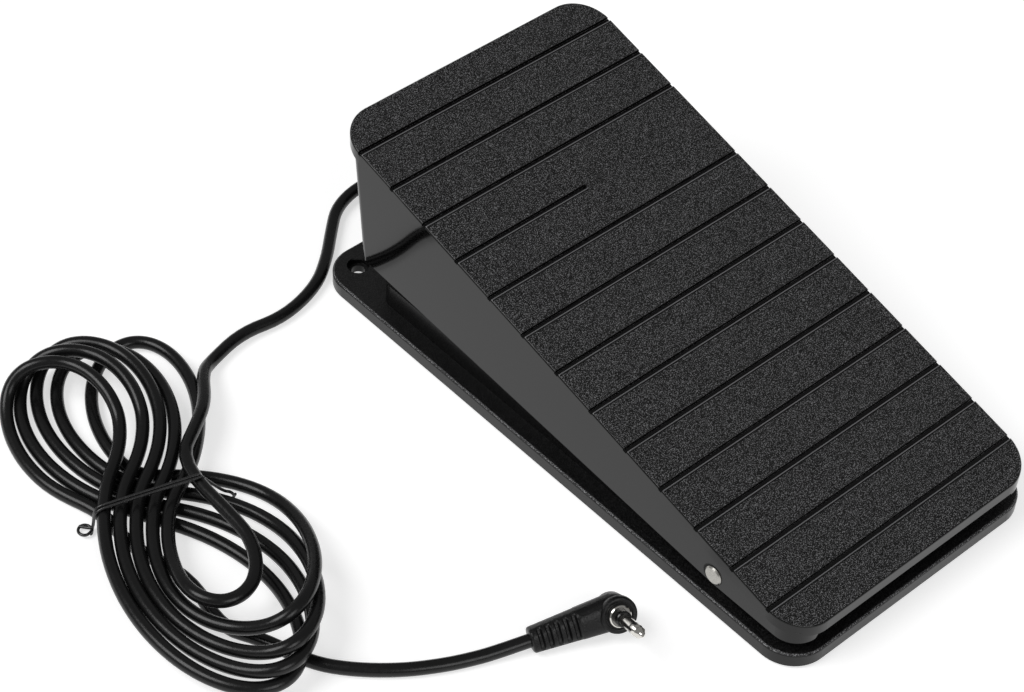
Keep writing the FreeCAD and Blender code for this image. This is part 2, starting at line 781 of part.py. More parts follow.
def skirt_wire(inset, z, rear_y):
    near = max(1.0, SKIRT_NEAR_CORNER - inset)
    rear = max(1.0, SKIRT_REAR_CORNER - inset)
    h = SKIRT_HALF - inset
    return round_rect(-h, h, SKIRT_NEAR_Y + inset, rear_y - inset, near, rear, z)


def skirt():
    """Thin wall all round, its rear face leaning outward as it rises."""
    low = SKIRT_LOW_Z - 2
    high = tread_z(TREAD_REAR_Y)
    outer = Part.makeLoft([skirt_wire(0, low, REAR_WALL_LOW_Y), skirt_wire(0, high, SKIRT_REAR_Y)], True, True)
    inner = Part.makeLoft([skirt_wire(SKIRT_WALL, low - 1, REAR_WALL_LOW_Y),
                           skirt_wire(SKIRT_WALL, high + 1, SKIRT_REAR_Y)], True, True)
    y0 = TREAD_NEAR_Y - 5
    y1 = TREAD_REAR_Y + 5
    keep = side_slab([(y0, SKIRT_LOW_Z), (PIN_Y, SKIRT_LOW_Z), (y1, skirt_low_z(y1)), (y1, under_z(y1) + 1),
                      (y0, under_z(y0) + 1)], TREAD_WIDTH)
    ring = outer.cut(inner).common(keep)
    notch = box(-NOTCH_WIDE / 2, NOTCH_WIDE / 2, REAR_WALL_LOW_Y - 8, SKIRT_REAR_Y + 2, 0,
                skirt_low_z(REAR_WALL_LOW_Y) + NOTCH_HIGH)
    return ring.cut(near_opening()).cut(notch)


def near_opening():
    """Gap in the near wall, between its rounded corners, up to the plate."""
    top = under_z(SKIRT_NEAR_Y)
    low = SKIRT_LOW_Z - 1
    corners = [(-NEAR_OPEN_LOW, low), (-NEAR_OPEN_HIGH, top), (NEAR_OPEN_HIGH, top), (NEAR_OPEN_LOW, low)]
    loop = [V(x, 0, z) for x, z in corners]
    opening = Part.Face(Part.makePolygon(loop + loop[:1])).extrude(V(0, SKIRT_WALL + 2, 0))
    opening.translate(V(0, SKIRT_NEAR_Y - 1, 0))
    return opening


def under_ribs():
    """Stiffening ribs under the plate: two long ones and four across."""
    out = []
    y0 = PIN_Y + 22
    y1 = SKIRT_REAR_Y - SKIRT_WALL - SKIRT_REAR_LEAN * 0.4
    for x in (-28.0, 28.0):
        loop = [(y0, under_z(y0) - UNDER_RIB_DEEP), (y1, under_z(y1) - UNDER_RIB_DEEP), (y1, under_z(y1) + 1),
                (y0, under_z(y0) + 1)]
        rib = side_slab(loop, UNDER_RIB / 2)
        rib.translate(V(x, 0, 0))
        out.append(rib)
    for k in range(4):
        y = PIN_Y + 26 + 32 * k
        out.append(box(-SKIRT_IN_HALF - 0.5, SKIRT_IN_HALF + 0.5, y - UNDER_RIB / 2, y + UNDER_RIB / 2,
                       under_z(y) - UNDER_RIB_DEEP, under_z(y) + 1))
    return out


def spring_boss():
    d = SPRING_D + 2 * SPRING_SEAT_RIM
    body = rod(d, 40, V(0, SPRING_Y, SPRING_BOSS_Z))
    inner = SPRING_D - 2 * SPRING_WIRE - 2 * SPRING_FIT
    low = V(0, SPRING_Y, SPRING_BOSS_Z - SPRING_SPIGOT_H)
    spigot = Part.makeCone(inner / 2 - SPIGOT_TAPER, inner / 2, SPRING_SPIGOT_H, low)
    y0 = SPRING_Y - d
    y1 = SPRING_Y + d
    keep = side_slab([(y0, 0), (y1, 0), (y1, under_z(y1) + 1), (y0, under_z(y0) + 1)], d)
    return [body.common(keep), spigot]


LEVER_REST_TILT = LEVER_TURN + LEVER_END_TILT
POST_Y = HINGE_Y + POST_OUT
LEVER_SLOPE = math.radians(LEVER_REST_TILT)
LEVER_Z_AT_POST = HINGE_Z + POST_OUT * math.tan(LEVER_SLOPE)
POST_TIP_Z = LEVER_Z_AT_POST + (LEVER_THICK / 2 + TOUCH_GAP + POST_TIP_R) / math.cos(LEVER_SLOPE)


def switch_post():
    """Rib under the treadle that presses the lever, with a round edge."""
    x0 = SWITCH_X - POST_WIDE / 2
    tip = rod(2 * POST_TIP_R, POST_WIDE, V(x0, POST_Y, POST_TIP_Z), V(1, 0, 0))
    web = box(x0, x0 + POST_WIDE, POST_Y - POST_TIP_R, POST_Y + POST_TIP_R, POST_TIP_Z, under_z(POST_Y) + 1)
    return [tip, web]


def pedal_cover():
    plate = tread_plate()
    solid = fuse(plate, skirt(), *under_ribs(), *spring_boss(), *switch_post())
    hole = rod(PIN_D, 2 * TREAD_WIDTH, V(-TREAD_WIDTH, PIN_Y, PIN_Z), V(1, 0, 0))
    return solid.cut(Part.makeCompound([hole] + grooves()))


def pivot_pin():
    half = SKIRT_HALF + PIN_PROUD
    c = PIN_CHAMFER
    r = PIN_D / 2
    outline = [(0, r - c), (c, r), (2 * half - c, r), (2 * half, r - c)]
    return revolve(outline, V(-half, PIN_Y, PIN_Z), V(1, 0, 0))


# Springs, switch and small pieces


def return_spring():
    """Coil spring between the base's seat and the treadle's boss."""
    r = (SPRING_D - SPRING_WIRE) / 2
    z0 = BASE_TOP + SPRING_SEAT_H + SPRING_WIRE / 2
    z1 = SPRING_BOSS_Z - REST_GAP - SPRING_WIRE / 2
    rise = (z1 - z0) / SPRING_TURNS
    quarter = math.pi / 2
    nodes = []
    for i in range(4 * SPRING_TURNS + 1):
        a = i * quarter
        p = V(r * math.cos(a), SPRING_Y + r * math.sin(a), z0 + rise * i / 4)
        t = V(-r * math.sin(a), r * math.cos(a), rise / (2 * math.pi)).normalize()
        nodes.append((p, t))
    edges = []
    for (p0, t0), (p1, t1) in zip(nodes, nodes[1:]):
        edges += biarc(p0, t0, p1, t1)
    print("spring gap between turns", round(rise - SPRING_WIRE, 2))
    return tube_along(edges, SPRING_WIRE)


def switch_parts():
    half = SWITCH_LONG / 2
    x0 = SWITCH_X - SWITCH_WIDE / 2
    split = x0 + SWITCH_COVER
    holes = [rod(SWITCH_HOLE_D, SWITCH_WIDE + 2, V(x0 - 1, y, z), V(1, 0, 0)) for y, z in switch_screw_places()]
    well_floor = V(SWITCH_X, HINGE_Y + PLUNGER_OUT, SWITCH_TOP_Z - PLUNGER_DEEP)
    well = rod(PLUNGER_D + 2 * RUN_CLEAR, PLUNGER_DEEP + 1, well_floor)
    case = box(split, x0 + SWITCH_WIDE, SWITCH_Y - half, SWITCH_Y + half, SWITCH_LOW_Z, SWITCH_TOP_Z)
    ear = box(SWITCH_X + LEVER_WIDE / 2 + EAR_GAP, x0 + SWITCH_WIDE, HINGE_Y - EAR_HALF, HINGE_Y + EAR_HALF,
              SWITCH_TOP_Z, HINGE_Z + LEVER_HINGE_UP)
    case = case.fuse(ear).cut(Part.makeCompound(holes + [well]))
    cover = box(x0, split, SWITCH_Y - half, SWITCH_Y + half, SWITCH_LOW_Z, SWITCH_TOP_Z)
    cover = cover.cut(Part.makeCompound(holes + [well]))
    return case.removeSplitter(), cover.removeSplitter()


def switch_plunger():
    y = HINGE_Y + PLUNGER_OUT
    tilt = math.radians(LEVER_REST_TILT)
    under = HINGE_Z + PLUNGER_OUT * math.tan(tilt) - (LEVER_THICK / 2 + TOUCH_GAP) / math.cos(tilt)
    travel = PLUNGER_OUT * math.radians(LEVER_TURN)
    low = SWITCH_TOP_Z - PLUNGER_DEEP + travel + 0.3
    top = under - PLUNGER_D / 2 * math.tan(tilt) - 0.05
    solid = rod(PLUNGER_D, top - low, V(SWITCH_X, y, low))
    rim = [e for e in solid.Edges if all(abs(p.z - top) < 1e-6 for p in e.discretize(3))]
    return solid.makeFillet(0.35, rim)


def switch_lever():
    """Flat spring arm with a rolled hinge, sloping up towards its free end."""
    tilt = math.radians(LEVER_REST_TILT)
    x0 = SWITCH_X - LEVER_WIDE / 2
    along = V(0, math.cos(tilt), math.sin(tilt))
    up = V(0, -math.sin(tilt), math.cos(tilt))
    c = V(x0, HINGE_Y, HINGE_Z)
    t = LEVER_THICK / 2
    loop = [c - up * t, c + along * LEVER_LONG - up * t, c + along * LEVER_LONG + up * t, c + up * t]
    arm = Part.Face(Part.makePolygon(loop + loop[:1])).extrude(V(LEVER_WIDE, 0, 0))
    roll = rod(LEVER_PIVOT_D, LEVER_WIDE, c, V(1, 0, 0))
    return fuse(arm, roll)


def switch_terminals():
    out = []
    for step in LUG_TAB_STEPS:
        y = SWITCH_Y + step
        tab = box(SWITCH_X - LUG_TAB_THICK / 2, SWITCH_X + LUG_TAB_THICK / 2, y - LUG_TAB_WIDE / 2,
                  y + LUG_TAB_WIDE / 2, SWITCH_LOW_Z - LUG_TAB_LONG, SWITCH_LOW_Z)
        eye = rod(LUG_TAB_WIDE * 0.45, 4, V(SWITCH_X - 2, y, SWITCH_LOW_Z - LUG_TAB_LONG + 1.2), V(1, 0, 0))
        out.append(tab.cut(eye))
    return Part.makeCompound(out)


def slotted_screw(head_d, head_h, shank_d, shank_long, at, along):
    """Pan-head screw whose head sits at the given place and whose shank runs along."""
    outline = [(-head_h, head_d / 2 - 0.4), (-head_h + 0.4, head_d / 2), (0, head_d / 2), (0, shank_d / 2),
               (shank_long, shank_d / 2)]
    solid = revolve(outline, at, along)
    slot = Part.makeBox(SCREW_SLOT, head_d + 2, 0.6, V(-SCREW_SLOT / 2, -head_d / 2 - 1, -head_h - 0.05))
    slot.Placement = FreeCAD.Placement(at, FreeCAD.Rotation(V(0, 0, 1), along))
    return solid.cut(slot)


def switch_screws():
    x0 = SWITCH_X - SWITCH_WIDE / 2
    long = SWITCH_WIDE + SWITCH_WALL - 1.5
    out = []
    for y, z in switch_screw_places():
        out.append(slotted_screw(SCREW_HEAD_D, SCREW_HEAD_H, SCREW_D, long, V(x0, y, z), V(1, 0, 0)))
    return Part.makeCompound(out)


def rest_stops():
    """Rubber pads on the inner wall's near end, under the plate's low end."""
    y0 = WALL_NEAR_Y
    out = []
    for s in (-1, 1):
        x = s * REST_PAD_X
        top = under_z(y0) - REST_GAP
        loop = [(y0, WALL_TOP), (y0 + WALL_THICK, WALL_TOP), (y0 + WALL_THICK, top), (y0, top)]
        pad = side_slab(loop, REST_PAD_LONG / 2)
        pad.translate(V(x, 0, 0))
        out.append(pad)
    return Part.makeCompound(out)


def bump_stops():
    top = rear_edge_pressed()[1] - BUMP_GAP
    out = []
    for x, y in bump_places():
        pad = rod(BUMP_D, top - BASE_TOP + BUMP_SINK, V(x, y, BASE_TOP - BUMP_SINK))
        rim = [e for e in pad.Edges if all(abs(p.z - top) < 1e-6 for p in e.discretize(3))]
        out.append(pad.makeFillet(0.7, rim))
    return Part.makeCompound(out)


# Cord entry

GLAND_IN_Y = WALL_REAR_Y - WALL_THICK - GLAND_FLANGE
GLAND_OUT_Y = WALL_REAR_Y + GLAND_LONG
CORD_END_Y = WALL_REAR_Y - WALL_THICK - INNER_CORD_LONG


def cord_gland():
    """Rubber strain relief: a flange inside the wall, a neck in its slot, and a ribbed taper outside."""
    y0 = GLAND_IN_Y
    flange = rod(GLAND_FLANGE_D, GLAND_FLANGE, V(0, y0, GLAND_Z), V(0, 1, 0))
    half = GLAND_D / 2 - GLAND_NECK_IN
    neck = box(-half, half, WALL_REAR_Y - WALL_THICK, WALL_REAR_Y, GLAND_Z - half, GLAND_Z + half)
    collar_r = GLAND_FLANGE_D / 2 - 0.5
    taper = [(0, collar_r), (GLAND_FLANGE, collar_r), (GLAND_FLANGE, GLAND_D / 2)]
    long = GLAND_LONG - GLAND_FLANGE
    for k in range(GLAND_RIBS):
        s = GLAND_FLANGE + long * (k + 0.45) / (GLAND_RIBS + 0.3)
        r = GLAND_D / 2 + (GLAND_END_D - GLAND_D) / 2 * (k + 0.5) / GLAND_RIBS
        deep = r - GLAND_RIB_DEEP
        taper += [(s, r), (s, deep), (s + GLAND_RIB_GAP, deep - 0.05), (s + GLAND_RIB_GAP, r - 0.05)]
    taper.append((GLAND_LONG, GLAND_END_D / 2))
    outer = revolve(taper, V(0, WALL_REAR_Y, GLAND_Z), V(0, 1, 0))
    whole = fuse(flange, neck, outer)
    bore = rod(CORD_D, GLAND_LONG + 20, V(0, y0 - 5, GLAND_Z), V(0, 1, 0))
    return whole.cut(bore)


def cord_inner():
    return rod(CORD_D, GLAND_OUT_Y - CORD_END_Y, V(0, CORD_END_Y, GLAND_Z), V(0, 1, 0))


def cord_clamp():
    r = CORD_R + CLAMP_WALL
    y0 = CLAMP_Y - CLAMP_LONG / 2
    saddle = rod(2 * r, CLAMP_LONG, V(0, y0, GLAND_Z), V(0, 1, 0))
    low = CLAMP_SEAT_Z + CLAMP_GAP
    saddle = saddle.common(box(-r, r, y0, y0 + CLAMP_LONG, low, GLAND_Z + r))
    strap = box(-CLAMP_HALF, CLAMP_HALF, y0, y0 + CLAMP_LONG, low, low + CLAMP_WALL)
    whole = fuse(saddle, strap)
    cuts = [rod(CORD_D, CLAMP_LONG + 2, V(0, y0 - 1, GLAND_Z), V(0, 1, 0))]
    cuts += [rod(CLAMP_SCREW_D, 10, V(s * clamp_screw_x(), CLAMP_Y, CLAMP_SEAT_Z - 1)) for s in (-1, 1)]
    return whole.cut(Part.makeCompound(cuts))


def clamp_screws():
    z = CLAMP_SEAT_Z + CLAMP_GAP + CLAMP_WALL
    long = z - BASE_TOP - 0.3
    out = []
    for s in (-1, 1):
        at = V(s * clamp_screw_x(), CLAMP_Y, z)
        out.append(slotted_screw(CLAMP_HEAD_D, SCREW_HEAD_H, CLAMP_SCREW_D, long, at, V(0, 0, -1)))
    return Part.makeCompound(out)


def signal_wires():
    """Two cores from the cord's cut end round the spring to the switch's lugs."""
    out = []
    outer = SPRING_D / 2 + SPRING_SEAT_RIM + WIRE_ASIDE
    low = BASE_TOP + WIRE_D / 2 + WIRE_LOW
    x_tab = SWITCH_X - LUG_TAB_THICK / 2 - WIRE_D / 2
    z_tab = SWITCH_LOW_Z - LUG_TAB_LONG + 1.2
    for step, side, off in ((LUG_TAB_STEPS[2], 1, 0.0), (LUG_TAB_STEPS[1], -1, -WIRE_APART)):
        y_tab = SWITCH_Y + step
        x_core = side * 0.9
        x = outer + off
        route = [V(x_core, CORD_END_Y, GLAND_Z), V(x_core + 0.4, CORD_END_Y - 6, GLAND_Z - 1.2),
                 V(x * 0.75, CORD_END_Y - 9 + off, low + 1.0), V(x, SPRING_Y + 4, low),
                 V(x + 0.4, SPRING_Y - 24, low + 0.2), V(x_tab - 1.8 + off * 0.5, y_tab + 12, low + 0.6),
                 V(x_tab, y_tab + 1.0, z_tab)]
        edges, _ = bent_path(route)
        out.append(tube_along(edges, WIRE_D))
    return Part.makeCompound(out)


# Plug


def plug_frame():
    """Places and directions of the plug: its head's centre, the pin's aim and the relief's aim."""
    aim = V(*PLUG_AIM).normalize()
    z = PLUG_HEAD_D / 2 * math.sqrt(1 - aim.z ** 2) + PLUG_HEAD_LONG / 2 * aim.z
    centre = V(PLUG_AT[0], PLUG_AT[1], z)
    start = V(RELIEF_FROM[0], RELIEF_FROM[1], RELIEF_D / 2)
    return centre, aim, start


def plug_head():
    centre, aim, start = plug_frame()
    e = PLUG_HEAD_EDGE
    r = PLUG_HEAD_D / 2
    h = PLUG_HEAD_LONG
    outline = [(0, r - e), (e, r), (h - e * 0.6, r), (h, r - e * 0.6), (h, r - 1.9), (h - 0.5, r - 1.9)]
    return revolve(outline, centre - aim * (h / 2), aim)


def plug_relief():
    """Ribbed sleeve from the cord to the head, growing towards the head."""
    centre, aim, start = plug_frame()
    along = (centre - start)
    long = along.Length
    along.normalize()
    grow = (RELIEF_HEAD_D - RELIEF_D) / 2
    ribbed = long * RELIEF_RIBBED
    outline = [(0, RELIEF_D / 2 - 0.6), (0.6, RELIEF_D / 2)]
    pitch = ribbed / RELIEF_RIBS
    for k in range(RELIEF_RIBS):
        s = pitch * (k + 0.62)
        r = RELIEF_D / 2 + grow * s / long
        deep = r - RELIEF_GROOVE_DEEP
        outline += [(s, r), (s + 0.15, deep), (s + RELIEF_GROOVE - 0.15, deep), (s + RELIEF_GROOVE, r + 0.05)]
    outline.append((long, RELIEF_HEAD_D / 2))
    solid = revolve(outline, start, along)
    core = Part.makeCylinder(PLUG_HEAD_D / 2, PLUG_HEAD_LONG + 20, centre - aim * (PLUG_HEAD_LONG / 2 + 10), aim)
    return solid.cut(core)


def jack_stack():
    """The pin's pieces, one behind the other along its aim."""
    centre, aim, start = plug_frame()
    at = centre + aim * (PLUG_HEAD_LONG / 2 - 0.5)
    out = {}
    collar = [(0, COLLAR_D / 2), (COLLAR_LONG - 0.3, COLLAR_D / 2), (COLLAR_LONG, COLLAR_D / 2 - 0.3)]
    barrel = [(0, BARREL_D / 2), (BARREL_LONG - 0.3, BARREL_D / 2), (BARREL_LONG, BARREL_D / 2 - 0.3)]
    sleeve = [(0, JACK_D / 2), (JACK_SLEEVE_LONG, JACK_D / 2)]
    ring = [(0, JACK_D / 2), (JACK_RING_LONG, JACK_D / 2)]
    tip = [(0, JACK_D / 2), (1.2, JACK_D / 2), (2.0, JACK_NECK_D / 2), (2.4, JACK_NECK_D / 2),
           (3.2, JACK_D / 2 - 0.1), (JACK_TIP_LONG - 0.5, 0.9), (JACK_TIP_LONG, 0.4)]
    rows = [("plug_collar", COLLAR_LONG, collar), ("plug_barrel", BARREL_LONG, barrel),
            ("plug_sleeve", JACK_SLEEVE_LONG, sleeve), ("plug_insulator", JACK_RING_LONG, ring),
            ("plug_tip", JACK_TIP_LONG, tip)]
    for name, long, outline in rows:
        out[name] = revolve(outline, at, aim)
        at = at + aim * long
    return out


# Cord stretches


def lead_and_hank():
    spots = hank_points()
    every = round(HANK_SPAN / (spots[1] - spots[0]).Length)
    edges, nodes = through(spots, every)
    start, aim = nodes[0]
    lead = [V(0, GLAND_OUT_Y, GLAND_Z)] + [V(*p) for p in LEAD_ROUTE]
    lead.append(start - aim * (CORD_D * 2.5))
    lead.append(start)
    end, out_aim = nodes[-1]
    tail = [end, end + out_aim * (CORD_D * 2)] + [V(*p) for p in TAIL_ROUTE]
    centre, _, relief = plug_frame()
    along = (centre - relief).normalize()
    tail += [relief - along * (CORD_D * 2.5), relief]
    return edges, lead, tail


def check_tube(name, solid, edges, radii):
    length = sum(e.Length for e in edges)
    want = math.pi * CORD_R ** 2 * length
    print(name, "length", round(length, 1), "volume ratio", round(solid.Volume / want, 4),
          "radii", [round(r, 1) for r in radii])
    return length


def upper_hull(spots):
    """Upper side of the convex outline round (along, height) spots, from left to right."""
    chain = []
    for p in sorted(spots):
        while len(chain) > 1:
            a, b = chain[-2:]
            if (b[0] - a[0]) * (p[1] - a[1]) - (b[1] - a[1]) * (p[0] - a[0]) >= 0:
                chain.pop()
            else:
                break
        chain.append(p)
    return chain


def cord_tie(cords):
    """Thin wire drawn over the hank's waist, both ends turned out on the floor."""
    along = V(TIE_TO[0] - TIE_FROM[0], TIE_TO[1] - TIE_FROM[1], 0)
    reach = along.Length
    along.normalize()
    across = V(-along.y, along.x, 0)
    start = V(TIE_FROM[0], TIE_FROM[1], 0)
    clear = CORD_R + TIE_WIRE_D / 2 + TIE_GAP
    crossings = []
    for spots in cords:
        for a, b in zip(spots, spots[1:]):
            ha = (a - start).dot(across)
            hb = (b - start).dot(across)
            if ha * hb <= 0 and ha != hb:
                p = a + (b - a) * (ha / (ha - hb))
                s = (p - start).dot(along)
                # a strand that crosses at a slant takes a wider stretch of the tie
                wider = clear * ((b - a).Length / abs(hb - ha) - 1)
                if 0 < s < reach:
                    crossings += [(s - wider, p.z), (s + wider, p.z)]
    print("strands under the tie", len(crossings) // 2)
    foot = TIE_WIRE_D / 2 + TIE_FLOOR_GAP

    def at(s, z):
        return start + along * s + V(0, 0, z)

    chain = upper_hull(crossings)
    headings = [math.pi / 2]
    for (s0, z0), (s1, z1) in zip(chain, chain[1:]):
        headings.append(math.atan2(z1 - z0, s1 - s0))
    headings.append(-math.pi / 2)
    edges = []
    left = chain[0][0] - clear
    edges.append(Part.makeLine(at(left - TIE_BEND - TIE_TAIL, foot), at(left - TIE_BEND, foot)))
    k = TIE_BEND * (1 - math.sqrt(0.5))
    bend = [at(left - TIE_BEND, foot), at(left - k, foot + k), at(left, foot + TIE_BEND)]
    edges.append(Part.Arc(*bend).toShape())
    last = at(left, foot + TIE_BEND)
    for (s, z), h0, h1 in zip(chain, headings, headings[1:]):
        turn = [at(s - clear * math.sin(h), z + clear * math.cos(h)) for h in (h0, (h0 + h1) / 2, h1)]
        if (turn[0] - last).Length > 1e-6:
            edges.append(Part.makeLine(last, turn[0]))
        edges.append(Part.Arc(*turn).toShape())
        last = turn[2]
    right = chain[-1][0] + clear
    edges.append(Part.makeLine(last, at(right, foot + TIE_BEND)))
    bend = [at(right, foot + TIE_BEND), at(right + k, foot + k), at(right + TIE_BEND, foot)]
    edges.append(Part.Arc(*bend).toShape())
    edges.append(Part.makeLine(at(right + TIE_BEND, foot), at(right + TIE_BEND + TIE_TAIL, foot)))
    return tube_along(edges, TIE_WIRE_D)


def main():
    save(base_tray(), "base_tray")
    save(rubber_feet(), "rubber_feet")
    save(pivot_bushes(), "pivot_bushes")
    save(pedal_cover(), "pedal_cover")
    save(pivot_pin(), "pivot_pin")
    save(return_spring(), "return_spring")
    case, cover = switch_parts()
    save(case, "switch_case")
    save(cover, "switch_cover")
    save(switch_plunger(), "switch_plunger")
    save(switch_lever(), "switch_lever")
    save(switch_terminals(), "switch_terminals")
    save(switch_screws(), "switch_screws")
    save(rest_stops(), "rest_stops")
    save(bump_stops(), "bump_stops")
    save(cord_gland(), "cord_gland")
    save(cord_inner(), "cord_inner")
    save(cord_clamp(), "cord_clamp")
    save(clamp_screws(), "clamp_screws")
    save(signal_wires(), "signal_wires")
    save(plug_head(), "plug_head")
    save(plug_relief(), "plug_relief")
    for name, solid in jack_stack().items():
        save(solid, name)
    edges, lead, tail = lead_and_hank()
    hank = tube_along(edges, CORD_D)
    total = check_tube("cord_hank", hank, edges, [])
    print("hank least gap", round(least_gap(edge_points(edges, 1.5), CORD_D), 2))
    save(hank, "cord_hank")
    cords = [edge_points(edges, 1.0)]
    for name, route in (("cord_lead", lead), ("cord_tail", tail)):
        path, radii = bent_path(route)
        tube = tube_along(path, CORD_D)
        total += check_tube(name, tube, path, radii)
        save(tube, name)
        cords.append(edge_points(path, 1.0))
    save(cord_tie(cords), "cord_tie")
    print("cord length outside the gland", round(total, 1))


main()
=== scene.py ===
import math

import bmesh
import bpy
from mathutils import Matrix, Vector


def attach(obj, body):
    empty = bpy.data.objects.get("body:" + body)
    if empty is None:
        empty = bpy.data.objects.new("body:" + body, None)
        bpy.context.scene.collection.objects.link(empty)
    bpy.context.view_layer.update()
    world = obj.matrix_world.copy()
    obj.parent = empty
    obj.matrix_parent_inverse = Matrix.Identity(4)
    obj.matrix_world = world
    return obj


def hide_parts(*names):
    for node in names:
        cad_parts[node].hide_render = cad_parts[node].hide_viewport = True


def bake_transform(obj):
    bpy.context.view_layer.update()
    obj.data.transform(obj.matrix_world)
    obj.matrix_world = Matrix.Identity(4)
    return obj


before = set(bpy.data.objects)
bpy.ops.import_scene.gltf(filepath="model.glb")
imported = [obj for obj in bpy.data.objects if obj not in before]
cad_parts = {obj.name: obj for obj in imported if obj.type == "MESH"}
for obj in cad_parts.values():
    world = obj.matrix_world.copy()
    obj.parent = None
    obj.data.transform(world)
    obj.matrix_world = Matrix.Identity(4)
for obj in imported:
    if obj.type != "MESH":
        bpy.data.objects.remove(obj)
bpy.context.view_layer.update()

# Lengths are in millimetres unless a comment says otherwise, and MM turns them into metres
MM = 0.001

# Camera, where the photograph was taken from
CAMERA_AT = Vector((-421.9, -366.2, 576.85)) * MM
CAMERA_RIGHT = Vector((0.74394, -0.66689, 0.04255))
CAMERA_UP = Vector((0.45277, 0.54986, 0.70190))
CAMERA_LENS = 94.0
CAMERA_SENSOR = 36.0

# Stage, in metres and watts
CLIP_START = 0.01
CLIP_END = 50.0
FLOOR_HALF = 6.0
FLOOR_GREY = 0.62
FLOOR_ROUGH = 0.9
FLOOR_GLOSS = 0.1
FLOOR_GLOW = 0.6
WORLD_LIGHT = 0.26
# A row per lamp: name, place, width, power, and the point that it shines on
LAMPS = [
    ("key", (-1.5, 0.7, 1.9), 1.6, 37, (-0.05, 0.02, 0)),
    ("front", (-0.4, -1.9, 1.3), 1.4, 15, (-0.05, 0, 0)),
]

# Treadle's sizes that its surface follows
TREAD_NEAR_Y = -101.3
TREAD_PITCH = math.radians(14.79)
GROOVE_FIRST = 11.9
GROOVE_STEP = 14.83
GROOVE_WIDE = 1.5
# painted shade: the grooves and a margin before each groove's near edge stay dark, with soft edges
# of these widths
GROOVE_SHADE_MARGIN = 0.75
GROOVE_SHADE_FAR_EDGE = 0.15
GROOVE_SHADE_NEAR_EDGE = 0.25
SHORT_GROOVE = 9
SAME_WITHIN = 0.1
PIN_Y = -68.6
PIN_Z = 13.3
PIN_R = 3.0

# Treadle's looks: faces that count as its top, grain whose light flecks are partly painted glint,
# the painted highlight line along a groove
TREAD_TOP = (0.72, 0.9)
TREAD_FINE = 0.29
TREAD_COARSE = 1.3
TREAD_COARSE_SHARE = 0.1
TREAD_FLECKS = (0.565, 0.635)
TREAD_DARK = 0.0005
TREAD_GRAIN_AND_GLINT = 0.14
TREAD_ROUGH = (0.07, 0.42)
TREAD_BUMP = 1.0
TREAD_DEPTH = 0.4
# painted highlight line along each groove's near edge: its offset, soft edge and tone
HIGHLIGHT_LINE_OFFSET = 0.05
HIGHLIGHT_LINE_EDGE = (0.12, 0.28)
HIGHLIGHT_LINE_TONE = 0.9

# Painted shade: dark dull ring round the pin, a little off its centre, for the shaded clearance of
# its hole
SHADE_RING_SHIFT_Y = 0.35
SHADE_RING_SHIFT_Z = -0.1
SHADE_RING_INSIDE = 0.35
SHADE_RING_OUTSIDE = 0.8
SHADE_RING_ROUGH = 0.6

# Base's looks: faces that count as its top, faces that lie level, grain; the rounded edge between
# them gets its light flecks as a painted highlight
BASE_TOP = (0.35, 0.6)
BASE_LEVEL = (0.9, 0.98)
BASE_GRAIN = 0.35
BASE_FLECKS = (0.47, 0.63)
BASE_LEVEL_SHARE = 0.05
BASE_DARK = 0.002
BASE_GRAIN_AND_HIGHLIGHT = 0.2
BASE_ROUGH = (0.26, 0.34)
BASE_BUMP = 0.8
BASE_DEPTH = 0.25

# Looks that the other surfaces share
PLASTIC_GLOSS = 0.3
COOL_TINT = 1.03
NOISE_SPAN = (0.3, 0.7)
PLAIN_BROAD = 12
PLAIN_BUMP = 0.3
PLAIN_ROUGH_SPAN = (0.8, 1.2)
METAL_STRETCH = (6.0, 1.0, 1.0)
METAL_MARK = 0.5
METAL_STAIN = 2.2
METAL_DULL = 0.82
METAL_BUMP = 0.15
METAL_DEPTH = 0.03
METAL_ROUGH_SPAN = (0.7, 1.4)

# Curves: steps between two points, and the fineness of their round section
CURVE_STEPS = 5
CURVE_ROUND = 6

# Return spring
SPRING_AT = (0.0, 36.0)
SPRING_LOW = 8.2
SPRING_HIGH = 43.2
SPRING_R = 6.5
SPRING_WIRE_R = 0.5
SPRING_TURNS = 7
SPRING_STEPS = 16
SPRING_CLOSED = 0.75
SPRING_END_RISE = 1.05

# Cord
CORD_D = 4.0
CORD_R = CORD_D / 2
GLAND_OUT = (0.0, 94.2, 10.6)
LEAD_ROUTE = [
    (0.0, 108.0, 9.8), (-4.9, 118.4, 6.8), (-15.0, 123.8, 3.8), (-26.4, 121.8, 2.4),
    (-34.9, 114.1, 2.0), (-43.5, 105.7, 2.0), (-54.0, 97.9, 2.0), (-70.0, 93.7, 2.0),
    (-84.5, 96.1, 2.6), (-98.7, 92.6, 2.1), (-104.7, 88.5, 4.8), (-112.6, 76.6, 8.0),
    (-120.5, 69.8, 9.5), (-134.8, 59.8, 10.8),
]
TAIL_ROUTE = [(-129.4, -32.2, 2.0), (-120.0, -37.9, 2.0), (-112.8, -41.3, 2.0)]
TAIL_END = CORD_D * 2.5

